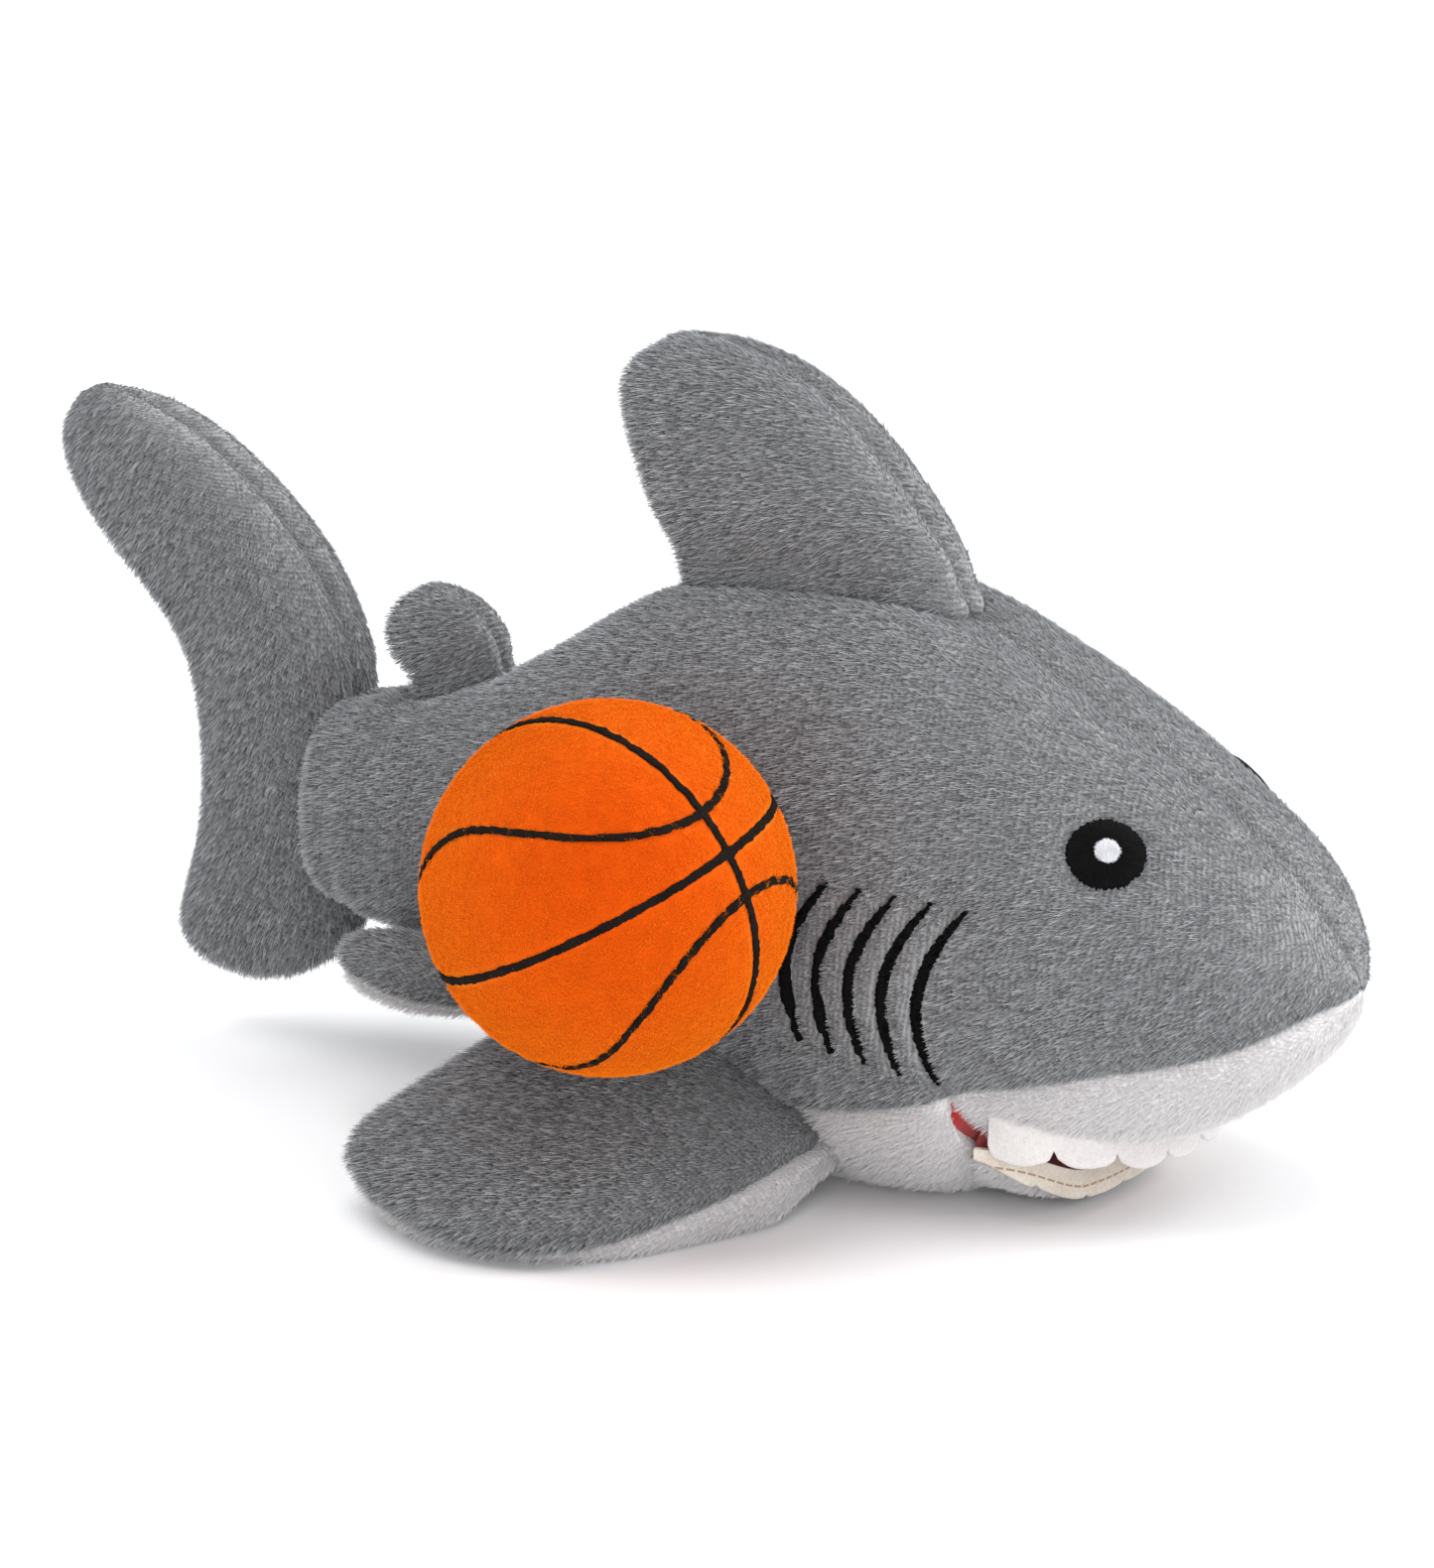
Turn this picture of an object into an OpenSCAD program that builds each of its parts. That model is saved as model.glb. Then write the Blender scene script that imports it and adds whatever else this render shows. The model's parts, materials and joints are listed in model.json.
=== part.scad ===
// Plush shark lying on its belly and pectoral fins, with a soft ball on its right flank.
// Millimetres. +X runs towards the nose, +Y to the shark's left, +Z up.
// The origin is on the flat patch of belly that the toy rests on, under its dorsal fin.

/* [Fabric] */
// Thickness of the plush fabric
plush = 1.2; // [0.8:0.1:1.6]
// Thickness of the felt teeth
felt = 1.2; // [0.8:0.1:1.6]
// Height of the embroidery above the plush
thread = 0.6; // [0.4:0.1:1]
// Play left between two pieces that touch
play = 0.15; // [0.1:0.05:0.3]

/* [Fins] */
// Bluntness of a fin's section: 2 is an ellipse
fin_power = 2.7; // [2:0.1:3]
// Number of steps along each fin
fin_rows = 7; // [5:1:10]

/* [Eyes] */
// Diameter of the embroidered black eye
eye_d = 16.4; // [14:0.2:18]
// Diameter of the white glint in the eye
glint_d = 5.2; // [4:0.2:7]

/* [Gills] */
// Number of gill slits on each side
gills = 5; // [3:1:6]
// Distance between gill slits
gill_pitch = 7.3; // [6.5:0.1:8]
// Width of a gill slit at its middle
gill_w = 3.2; // [2:0.2:4]

/* [Ball] */
// Diameter of the ball's cover
ball_d = 71; // [66:1:74]
// Width of the ball's dark lines
line_w = 1.8; // [1.2:0.2:2.6]
// Diameter of the hook and loop dots that hold the ball
dot_d = 18; // [12:1:22]

/* [Hidden] */

grey = [0.47, 0.49, 0.50];
white = [0.93, 0.92, 0.92];
cream = [0.93, 0.89, 0.82];
red = [0.68, 0.05, 0.05];
black = [0.03, 0.03, 0.03];
orange = [0.98, 0.42, 0.04];
fill_colour = [0.96, 0.96, 0.97];

// Body stations from tail to nose: [x, lowest z, highest z, half width, z of the grey and white seam].
// A lowest z under 0 is cut flat there, which makes the patch that the toy rests on.
BODY = [
    [-115, 36, 78.5, 19.5, 36], [-105, 33, 80.5, 22, 33.2], [-93, 29.5, 83, 24.5, 30.5],
    [-78, 24.5, 88.5, 27.5, 27.5], [-60, 17, 98.5, 31.5, 23], [-40, 8.5, 110.5, 36.5, 18.5],
    [-20, 1, 117.5, 41, 16], [0, -2, 118.5, 45, 16.5], [20, -2.5, 117, 47.5, 19],
    [34, -1.5, 111.5, 48, 22], [42, 1, 107.5, 47.3, 24.5], [46.5, 7, 105.3, 46.8, 26],
    [50, 12, 103.3, 46.2, 27], [57, 12, 99.5, 45, 28.5], [67, 13.3, 93.8, 43, 31],
    [78, 16, 87, 39.5, 34], [90, 20.5, 79, 33.5, 36.5], [100, 27.5, 71, 26, 39.5],
    [107, 35, 62.5, 17, 43], [111, 41.5, 55.5, 9, 45.5], [112.4, 46.5, 50, 2, 47.5]
];
steps_between = 2; // rows of facets between two stations
back_steps = 7;    // facets across each half of the back
belly_steps = 10;  // and across the belly
seat = 0.42;       // height of the body's widest line, as a share of its depth
back_power = 2.35; // bluntness of the section over the widest line
belly_power = 2.6; // bluntness of the section under it
belly_first = 2;   // station where the white belly panel starts
throat = 11;       // station where it ends and the upper lip panel starts
palate_first = 12; // stations between which the roof of the mouth is lined
palate_last = 15;

// Fin ribs from root to tip: [front edge point, rear edge point, [half thickness, 0, 0]].
DORSAL = [
    [[27, 0, 120.2], [-33, 0, 119.6], [4.5, 0, 0]], [[23.5, 0, 124.5], [-37, 0, 123], [10, 0, 0]],
    [[15.5, 0, 134.5], [-42, 0, 132], [13, 0, 0]], [[5, 0, 146], [-46.5, 0, 143], [12.5, 0, 0]],
    [[-8, 0, 155.5], [-48.5, 0, 151], [11, 0, 0]], [[-21, 0, 160.5], [-47, 0, 156], [7.5, 0, 0]],
    [[-32, 0, 162], [-41.5, 0, 160], [2.5, 0, 0]]
];
REAR_DORSAL = [
    [[-80.5, 0, 89.3], [-99, 0, 84.3], [2.5, 0, 0]], [[-80, 0, 91.5], [-104, 0, 86.8], [5.5, 0, 0]],
    [[-82.5, 0, 96.5], [-107.5, 0, 92.5], [6.5, 0, 0]], [[-87.5, 0, 101], [-106, 0, 98.5], [5, 0, 0]],
    [[-94, 0, 103], [-101, 0, 102], [2, 0, 0]]
];
TAIL = [
    [[-140, 0, 14.5], [-150, 0, 14.5], [2, 0, 0]], [[-128, 0, 18], [-160, 0, 19], [7, 0, 0]],
    [[-119.5, 0, 26], [-161, 0, 26.5], [10, 0, 0]], [[-117.5, 0, 37], [-156.5, 0, 38], [12, 0, 0]],
    [[-117.5, 0, 50], [-153, 0, 52], [13, 0, 0]], [[-117.5, 0, 64], [-152.5, 0, 67], [13.5, 0, 0]],
    [[-117.5, 0, 78], [-154, 0, 80], [14, 0, 0]], [[-119, 0, 90], [-159, 0, 91], [14, 0, 0]],
    [[-127.5, 0, 106], [-169, 0, 101.5], [13.5, 0, 0]], [[-141, 0, 120.5], [-179, 0, 110.5], [12.5, 0, 0]],
    [[-157, 0, 131.5], [-186, 0, 120.5], [10.5, 0, 0]],
    [[-170, 0, 136.5], [-189, 0, 128], [7, 0, 0]],
    [[-179, 0, 138], [-187, 0, 134.5], [2.5, 0, 0]]
];
// The paired fins are given for the right side, and mirrored for the left.
PECTORAL = [
    [[17, -48.5, 12.5], [-26, -45.5, 34], [4, 0, 0]], [[14, -58, 8], [-34, -51.5, 31.5], [7.5, 0, 0]],
    [[9, -72, 5], [-41, -58, 28.5], [9, 0, 0]], [[4, -86, 4], [-47, -64, 25], [9, 0, 0]],
    [[-4, -97.5, 4], [-53, -70, 21], [8.5, 0, 0]], [[-16, -104, 4.5], [-58.5, -76, 16.5], [7.5, 0, 0]],
    [[-32, -104.5, 6], [-62.5, -82, 12.5], [5.5, 0, 0]],
    [[-47, -99, 7.5], [-61, -88, 10], [2.5, 0, 0]]
];
left = [0, 1, 0];
pectoral_up = [0.172, -0.46, 0.871];
PELVIC = [
    [[-58, -31, 28.5], [-78, -24.5, 31.5], [2.5, 0, 0]],
    [[-62, -35, 29], [-86, -28, 33], [5, 0, 0]],
    [[-70, -41, 29.5], [-93, -32, 33.5], [6, 0, 0]], [[-80, -43.5, 30.5], [-97, -35, 33.5], [5, 0, 0]],
    [[-88, -43.5, 32], [-95, -39, 33], [2, 0, 0]]
];
pelvic_up = [0.1, -0.3, 0.949];
// Lower jaw stations: [x, lowest z, highest z, half width].
JAW = [
    [49.5, 2.5, 9, 34], [53, 2.2, 9, 33], [57, 2.2, 8.7, 29], [60, 2.7, 8.2, 22],
    [62.3, 3.5, 7.5, 13], [63.5, 4.6, 6.7, 5]
];
jaw_power = 2.6;

mouth_back = 47;     // x of the corners of the mouth
mouth_front = 80;    // x of the upper lip's edge at the middle
mouth_half = 37;     // half width between the corners
tooth_drop = 7.5;    // how far an upper tooth hangs
tooth_count = 8;     // upper teeth round the lip
lower_tooth_count = 7;
eye_x = 74;
eye_z = 77.4;
gill_x = 41;         // x of the front slit's middle
gill_z = 48;
gill_h = 36;         // height of a slit
gill_bow = 7.5;      // how far its top end leans forward of its middle
ball_r = ball_d / 2;
ball_touch = [-1, 67.4];  // x and z of the point of the flank that the ball touches
ball_gap = 2.7;      // between the flank and the ball, for the dots
dot_t = 0.6;
ball_pole = [0.89, -0.256, 0.377];  // where the ball's two ring lines cross
ball_up = [-0.426, -0.178, 0.887];   // the upright ring's direction there
curve_low = 14.5;    // nearest and furthest angle of the curved lines from the level ring
curve_high = 45;

// ---- Curves and lofts ----

function power(v, p) = sign(v) * pow(abs(v), p);
function spline(a, b, c, d, t) =
    0.5 * (2 * b + (c - a) * t + (2 * a - 5 * b + 4 * c - d) * t * t + (3 * b - a - 3 * c + d) * t * t * t);
// The row of a table at u, from 0 at its first row to 1 at its last, on a smooth curve through them all.
function row(table, u) =
    let (n = len(table) - 1, i = min(floor(u * n), n - 1))
    spline(table[max(i - 1, 0)], table[i], table[i + 1], table[min(i + 2, n)], u * n - i);
function unit(v) = v / norm(v);

// The floor presses flat what would reach under it.
function over_floor(p, inset) = [p.x, p.y, max(p.z, inset + 0.2)];
// One point of a fin's section: angle 0 is its front edge, 90 its upper side, and inset moves it inwards.
function fin_point(rib, up, angle, inset) =
    let (mid = (rib[0] + rib[1]) / 2, half = (rib[0] - rib[1]) / 2, c = norm(half), t = rib[2][0])
    over_floor(mid + half * max(1 - inset / c, 0.15) * power(cos(angle), 2 / fin_power)
        + up * max(t - inset, 0.15 * t) * power(sin(angle), 2 / fin_power), inset);
function fin_grid(table, up, rows, from, to, steps, inset) =
    [for (i = [0:rows]) [for (j = [0:steps])
        fin_point(row(table, i / rows), up, from + (to - from) * j / steps, inset)]];

// A body station with its seam angle below the widest line added as the last column.
function widest(st) = st[1] + seat * (st[2] - st[1]);
last_station = len(BODY) - 1;
function seam_angle(st) =
    asin(pow(min(max((widest(st) - st[4]) / (widest(st) - st[1]), 0), 1), belly_power / 2));
// One point of the body's section: angle 90 is the back ridge, 180 the right side and 270 the belly.
function body_point(st, angle, inset) =
    let (z0 = widest(st), over = sin(angle) > 0, p = over ? back_power : belly_power,
         h = (over ? st[2] - z0 : z0 - st[1]) - inset)
    [st[0], max(st[3] - inset, 1) * power(cos(angle), 2 / p),
     max(z0 + h * power(sin(angle), 2 / p), inset)];
function body_grid(first, last, side, inset) =
    [for (i = [first * steps_between:last * steps_between])
        let (st = row(BODY, i / steps_between / last_station), s = seam_angle(st))
        [for (t = shares(side)) body_point(st, body_angle(side, s, t), inset)]];
// The facets' edges across a panel, from its left side to its right side.
function shares(side) =
    let (n = side == "right" || side == "left" ? back_steps : side == "belly" ? belly_steps : 6)
    [for (j = [n:-1:0]) j / n];
// The angle at share t across a panel: the right or left side of the back, the belly or the palate.
function body_angle(side, s, t) =
    side == "right" ? 90 + (90 + s) * t :
    side == "left" ? -s + (90 + s) * t :
    side == "belly" ? 180 + s + (180 - 2 * s) * t :
    230 + 80 * t;
// Where the body's skin is at a given x: half width at z, and height of the underside at y.
function station_at(x, lo = 0, hi = 1, n = 16) =
    n == 0 ? row(BODY, (lo + hi) / 2) :
    let (m = (lo + hi) / 2) row(BODY, m)[0] < x ? station_at(x, m, hi, n - 1) : station_at(x, lo, m, n - 1);
function side_y(x, z) =
    let (st = station_at(x), z0 = widest(st), p = z > z0 ? back_power : belly_power,
         h = z > z0 ? st[2] - z0 : z0 - st[1])
    st[3] * pow(max(1 - pow(abs(z - z0) / h, p), 0.01), 1 / p);
function under_z(x, y) =
    let (st = station_at(x), z0 = widest(st))
    z0 - (z0 - st[1]) * pow(max(1 - pow(min(abs(y) / st[3], 1), belly_power), 0), 1 / belly_power);

// A sheet of fabric between two grids of points that have the same rows and columns.
module sheet(outer, inner) {
    m = len(outer) - 1;
    n = len(outer[0]) - 1;
    k = (m + 1) * (n + 1);
    function at(i, j, side) = side * k + i * (n + 1) + j;
    function quad(a, b, c, d) = [[a, b, c], [a, c, d]];
    faces = [
        for (i = [0:m - 1], j = [0:n - 1])
            each quad(at(i, j, 0), at(i, j + 1, 0), at(i + 1, j + 1, 0), at(i + 1, j, 0)),
        for (i = [0:m - 1], j = [0:n - 1])
            each quad(at(i, j, 1), at(i + 1, j, 1), at(i + 1, j + 1, 1), at(i, j + 1, 1)),
        for (j = [0:n - 1]) each quad(at(0, j, 1), at(0, j + 1, 1), at(0, j + 1, 0), at(0, j, 0)),
        for (j = [0:n - 1]) each quad(at(m, j, 0), at(m, j + 1, 0), at(m, j + 1, 1), at(m, j, 1)),
        for (i = [0:m - 1]) each quad(at(i, 0, 0), at(i + 1, 0, 0), at(i + 1, 0, 1), at(i, 0, 1)),
        for (i = [0:m - 1]) each quad(at(i, n, 1), at(i + 1, n, 1), at(i + 1, n, 0), at(i, n, 0))
    ];
    polyhedron([for (r = outer) each r, for (r = inner) each r], faces, convexity = 6);
}

// A solid through closed rings of points, with a flat fan at each end.
module loft(rings) {
    m = len(rings) - 1;
    n = len(rings[0]);
    function middle(r) = [for (p = r) 1] * r / n;
    faces = [
        for (i = [0:m - 1], j = [0:n - 1]) let (a = i * n + j, b = i * n + (j + 1) % n)
            each [[a, b, b + n], [a, b + n, a + n]],
        for (j = [0:n - 1]) [(m + 1) * n, (j + 1) % n, j],
        for (j = [0:n - 1]) [(m + 1) * n + 1, m * n + j, m * n + (j + 1) % n]
    ];
    polyhedron(concat([for (r = rings) each r], [middle(rings[0]), middle(rings[m])]), faces, convexity = 6);
}

function open_ring(r) = [for (j = [0:len(r) - 2]) r[j]];

// ---- Body ----

module back_panel(side) {
    color(grey)
        sheet(body_grid(0, last_station, side, 0), body_grid(0, last_station, side, plush));
}

module belly_panel() {
    color(white)
        sheet(body_grid(belly_first, throat, "belly", 0), body_grid(belly_first, throat, "belly", plush));
}

module upper_lip_panel() {
    color(white)
        sheet(body_grid(throat, last_station, "belly", 0), body_grid(throat, last_station, "belly", plush));
}

module body_stuffing() {
    function core(side) = body_grid(0, last_station, side, plush + play);
    l = core("left");
    b = core("belly");
    r = core("right");
    rings = [for (i = [0:len(b) - 1]) concat(open_ring(b[i]), open_ring(r[i]), open_ring(l[i]))];
    color(fill_colour) loft(rings);
}

// ---- Mouth ----

// The upper lip's edge seen from below, at share t from the right corner to the left one.
function lip(t, inwards) =
    let (a = 180 * t)
    [mouth_back + (mouth_front - mouth_back - inwards) * power(sin(a), 0.85),
     -(mouth_half - inwards) * power(cos(a), 0.85)];
// A row of rounded teeth: 1 at a tooth's middle and 0 between two teeth.
function scallop(t, count) = pow(abs(sin(180 * count * t)), 0.45);

module palate_lining() {
    function lining(inset) = body_grid(palate_first, palate_last, "palate", inset);
    color(red) sheet(lining(-1.3), lining(-0.5));
}

module upper_teeth() {
    steps = tooth_count * 5;
    function edge(t, inwards, drop) = let (p = lip(t, inwards)) [p.x, p.y, under_z(p.x, p.y) - 1.7 - drop];
    function band(inwards) =
        [for (i = [0:steps]) let (t = 0.04 + 0.92 * i / steps)
            [edge(t, inwards, tooth_drop * (0.5 + 0.5 * scallop(i / steps, tooth_count))), edge(t, inwards, 0)]];
    color(white) sheet(band(0), band(felt));
}

function jaw_point(st, angle, inset) =
    let (z0 = (st[1] + st[2]) / 2)
    [st[0], (st[3] - inset) * power(cos(angle), 2 / jaw_power),
     z0 + max((st[2] - st[1]) / 2 - inset, 0.4) * power(sin(angle), 2 / jaw_power)];
function jaw_grid(rows, from, to, steps, inset) =
    [for (i = [0:rows]) [for (j = [0:steps]) jaw_point(row(JAW, i / rows), from + (to - from) * j / steps, inset)]];

module lower_jaw_cover() {
    color(white) sheet(jaw_grid(8, 360, 180, 10, 0), jaw_grid(8, 360, 180, 10, plush));
}

module lower_jaw_lining() {
    color(red) sheet(jaw_grid(8, 180, 0, 10, 0), jaw_grid(8, 180, 0, 10, plush));
}

module lower_jaw_stuffing() {
    color(fill_colour) loft([for (r = jaw_grid(7, 360, 0, 12, plush + play)) open_ring(r)]);
}

module lower_teeth() {
    steps = lower_tooth_count * 5;
    // The jaw's rim, followed from the right side round the front to the left.
    function rim(t, out) =
        let (a = 180 * t)
        [50 + (13.8 + out) * power(sin(a), 0.9), -(34.6 + out) * power(cos(a), 0.75)];
    function band(out) =
        [for (i = [0:steps]) let (p = rim(0.05 + 0.9 * i / steps, out), s = scallop(i / steps, lower_tooth_count))
            [[p.x, p.y, 3.4 - 1.8 * s], [p.x, p.y, 8]]];
    color(cream) sheet(band(play + felt), band(play));
}

// ---- Embroidery ----

// The skin's point at (x, z) of the right side, and its outward normal there.
function side_point(x, z) = [x, -side_y(x, z), z];
function side_normal(x, z) =
    unit(cross(side_point(x + 1, z) - side_point(x - 1, z), side_point(x, z + 1) - side_point(x, z - 1)));

// Stands a child on the skin at (x, z) of the right side, with its own +Z along the skin's outward normal.
module on_right_side(x, z) {
    n = side_normal(x, z);
    translate(side_point(x, z)) rotate([0, acos(n.z), atan2(n.y, n.x)]) children();
}

module eye() {
    color(black) on_right_side(eye_x, eye_z) translate([0, 0, play]) cylinder(d = eye_d, h = thread + 0.3, $fn = 64);
}

module glint() {
    color(white)
        on_right_side(eye_x, eye_z) translate([0, 0, play + thread + 0.32]) cylinder(d = glint_d, h = thread, $fn = 48);
}

module gill(k) {
    steps = 8;
    x0 = gill_x - k * gill_pitch;
    z0 = gill_z + 0.9 * k;
    // A bow that leans forward at its top, widest at its middle.
    function slit(t, across, lift) =
        let (z = z0 + gill_h * (t - 0.5) * (1 - 0.02 * k), bow = gill_bow * pow(abs(2 * t - 0.85), 1.8),
             x = x0 + (t > 0.425 ? bow : 0.7 * bow) + across * gill_w / 2 * sqrt(max(1 - pow(2 * t - 1, 2), 0.03)))
        [x, -(side_y(x, z) + lift), z];
    function strip(lift) = [for (i = [0:steps]) [for (a = [1, -1]) slit(i / steps, a, lift)]];
    color(black) sheet(strip(thread + 0.4), strip(0.4));
}

module gill_group() {
    for (k = [0:gills - 1]) gill(k);
}

// ---- Fins ----

module fin_panel(table, up, rows, from, paint) {
    color(paint)
        sheet(fin_grid(table, up, rows, from + 180, from, 6, 0), fin_grid(table, up, rows, from + 180, from, 6, plush));
}

module fin_stuffing(table, up, rows) {
    rings = [for (i = [0:rows]) [for (j = [0:11])
        fin_point(row(table, i / rows), up, -30 * j, plush + play)]];
    color(fill_colour) loft(rings);
}

// ---- Ball ----

ball_at = side_point(ball_touch[0], ball_touch[1])
    + side_normal(ball_touch[0], ball_touch[1]) * (ball_gap + ball_r);

// Turns a child so that its +X points at the crossing of the ring lines and its +Z along the upright ring.
module ball_frame() {
    x = unit(ball_pole);
    y = unit(cross(ball_up, x));
    z = cross(x, y);
    translate(ball_at)
        multmatrix([[x.x, y.x, z.x, 0], [x.y, y.y, z.y, 0], [x.z, y.z, z.z, 0], [0, 0, 0, 1]]) children();
}

module ball_cover(upper) {
    color(orange) ball_frame() intersection() {
        difference() {
            sphere(r = ball_r, $fn = 96);
            sphere(r = ball_r - plush, $fn = 96);
        }
        translate([-ball_d, -ball_d, upper ? 0 : -2 * ball_d]) cube([2 * ball_d, 2 * ball_d, 2 * ball_d]);
    }
}

module ball_stuffing() {
    color(fill_colour) ball_frame() sphere(r = ball_r - plush - play, $fn = 96);
}

module ring_line() {
    rotate_extrude($fn = 128) translate([ball_r + 0.05, -line_w / 2]) square([thread, line_w]);
}

module ball_ring_lines() {
    color(black) ball_frame() union() {
        ring_line();
        rotate([90, 0, 0]) ring_line();
    }
}

// A closed line that swings between two angles from the level ring as it goes round the ball.
module curve_line(side) {
    steps = 48;
    function dir(a, tilt) = [cos(a) * cos(tilt), sin(a) * cos(tilt), sin(tilt)];
    function tilt(a) = side * (curve_low + (curve_high - curve_low) * (1 - cos(2 * a)) / 2);
    half = line_w / 2 / ball_r * 180 / PI;
    rings = [for (i = [0:steps - 1]) let (a = 360 * i / steps)
        [for (c = [[0.05, -1], [0.05, 1], [0.05 + thread, 1], [0.05 + thread, -1]])
            (ball_r + 0.1 + c[0]) * dir(a, tilt(a) + c[1] * half)]];
    faces = [for (i = [0:steps - 1], j = [0:3])
        let (a = 4 * i + j, b = 4 * i + (j + 1) % 4, c = 4 * ((i + 1) % steps) + (j + 1) % 4, d = 4 * ((i + 1) % steps) + j)
        each [[a, c, b], [a, d, c]]];
    polyhedron([for (r = rings) each r], faces, convexity = 6);
}

module ball_curve_lines() {
    color(black) ball_frame() for (side = [-1, 1]) curve_line(side);
}

module flank_loop_dot() {
    color(grey) on_right_side(ball_touch[0], ball_touch[1]) translate([0, 0, 2 * play])
        cylinder(d = dot_d, h = dot_t, $fn = 48);
}

module ball_hook_dot() {
    r = dot_d / 2;
    base = ball_gap - thread - 2 * play - dot_t;
    inner_r = ball_r + thread + 2 * play;
    // The side that faces the ball is hollowed to fit over its lines.
    rim = [for (i = [0:6]) let (x = r * (1 - i / 6)) [x, ball_gap + ball_r - sqrt(inner_r * inner_r - x * x)]];
    color(black) on_right_side(ball_touch[0], ball_touch[1])
        rotate_extrude($fn = 48) polygon(concat([[0, base], [r, base]], rim));
}

// ---- Nodes ----

module mirror_y() {
    mirror([0, 1, 0]) children();
}

back_panel("right");  // back_panel_right
back_panel("left");  // back_panel_left
belly_panel();
upper_lip_panel();
body_stuffing();
palate_lining();
upper_teeth();
eye();  // eye_right
mirror_y() eye();  // eye_left
glint();  // glint_right
mirror_y() glint();  // glint_left
gill_group();  // gills_right
mirror_y() gill_group();  // gills_left
flank_loop_dot();
lower_jaw_cover();
lower_jaw_lining();
lower_jaw_stuffing();
lower_teeth();
fin_panel(DORSAL, left, fin_rows, 180, grey);  // dorsal_fin_right_panel
fin_panel(DORSAL, left, fin_rows, 0, grey);  // dorsal_fin_left_panel
fin_stuffing(DORSAL, left, fin_rows);  // dorsal_fin_stuffing
fin_panel(REAR_DORSAL, left, 5, 180, grey);  // rear_dorsal_fin_right_panel
fin_panel(REAR_DORSAL, left, 5, 0, grey);  // rear_dorsal_fin_left_panel
fin_stuffing(REAR_DORSAL, left, 5);  // rear_dorsal_fin_stuffing
fin_panel(TAIL, left, 14, 180, grey);  // tail_fin_right_panel
fin_panel(TAIL, left, 14, 0, grey);  // tail_fin_left_panel
fin_stuffing(TAIL, left, 14);  // tail_fin_stuffing
fin_panel(PECTORAL, pectoral_up, fin_rows, 0, grey);  // pectoral_right_top_panel
fin_panel(PECTORAL, pectoral_up, fin_rows, 180, white);  // pectoral_right_bottom_panel
fin_stuffing(PECTORAL, pectoral_up, fin_rows);  // pectoral_right_stuffing
mirror_y() fin_panel(PECTORAL, pectoral_up, fin_rows, 0, grey);  // pectoral_left_top_panel
mirror_y() fin_panel(PECTORAL, pectoral_up, fin_rows, 180, white);  // pectoral_left_bottom_panel
mirror_y() fin_stuffing(PECTORAL, pectoral_up, fin_rows);  // pectoral_left_stuffing
fin_panel(PELVIC, pelvic_up, 5, 0, grey);  // pelvic_right_top_panel
fin_panel(PELVIC, pelvic_up, 5, 180, white);  // pelvic_right_bottom_panel
fin_stuffing(PELVIC, pelvic_up, 5);  // pelvic_right_stuffing
mirror_y() fin_panel(PELVIC, pelvic_up, 5, 0, grey);  // pelvic_left_top_panel
mirror_y() fin_panel(PELVIC, pelvic_up, 5, 180, white);  // pelvic_left_bottom_panel
mirror_y() fin_stuffing(PELVIC, pelvic_up, 5);  // pelvic_left_stuffing
ball_cover(true);  // ball_cover_upper
ball_cover(false);  // ball_cover_lower
ball_stuffing();
ball_ring_lines();
ball_curve_lines();
ball_hook_dot();
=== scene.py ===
import json
import math

import bmesh
import bpy
import numpy as np
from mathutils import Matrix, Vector
from mathutils.bvhtree import BVHTree
from mathutils.kdtree import KDTree

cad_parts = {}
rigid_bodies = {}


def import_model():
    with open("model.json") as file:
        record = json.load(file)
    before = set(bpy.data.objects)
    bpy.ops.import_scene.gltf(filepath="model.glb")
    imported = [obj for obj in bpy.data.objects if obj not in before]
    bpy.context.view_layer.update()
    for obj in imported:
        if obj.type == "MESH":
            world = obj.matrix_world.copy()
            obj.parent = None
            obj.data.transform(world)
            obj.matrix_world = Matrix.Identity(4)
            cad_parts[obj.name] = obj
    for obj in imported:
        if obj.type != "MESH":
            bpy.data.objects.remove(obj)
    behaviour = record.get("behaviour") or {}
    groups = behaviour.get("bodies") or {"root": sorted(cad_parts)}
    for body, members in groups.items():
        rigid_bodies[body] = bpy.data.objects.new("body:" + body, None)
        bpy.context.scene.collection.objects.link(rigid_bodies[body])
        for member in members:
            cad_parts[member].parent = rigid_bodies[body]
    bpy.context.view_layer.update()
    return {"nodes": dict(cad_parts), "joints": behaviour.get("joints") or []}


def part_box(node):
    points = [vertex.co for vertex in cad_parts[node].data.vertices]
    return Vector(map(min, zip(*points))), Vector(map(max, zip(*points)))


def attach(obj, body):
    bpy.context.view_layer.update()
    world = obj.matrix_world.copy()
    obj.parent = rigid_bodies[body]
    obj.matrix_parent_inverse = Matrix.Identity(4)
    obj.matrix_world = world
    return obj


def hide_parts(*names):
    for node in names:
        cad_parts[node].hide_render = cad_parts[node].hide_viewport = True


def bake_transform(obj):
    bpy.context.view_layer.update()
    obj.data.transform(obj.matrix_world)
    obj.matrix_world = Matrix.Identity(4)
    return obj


for default in list(bpy.data.objects):
    bpy.data.objects.remove(default)
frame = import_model()
NODES = frame["nodes"]
MM = 0.001

# How many points a fin's ring has, how blunt its edges are (2 is an ellipse), and a round end's
# rings, each with its size and its share of the end's length.
FIN_POINTS = 32
FULLNESS = 2.7
ROUND_END = ((0.86, 0.5), (0.5, 0.88), (0.02, 1.0))
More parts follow.
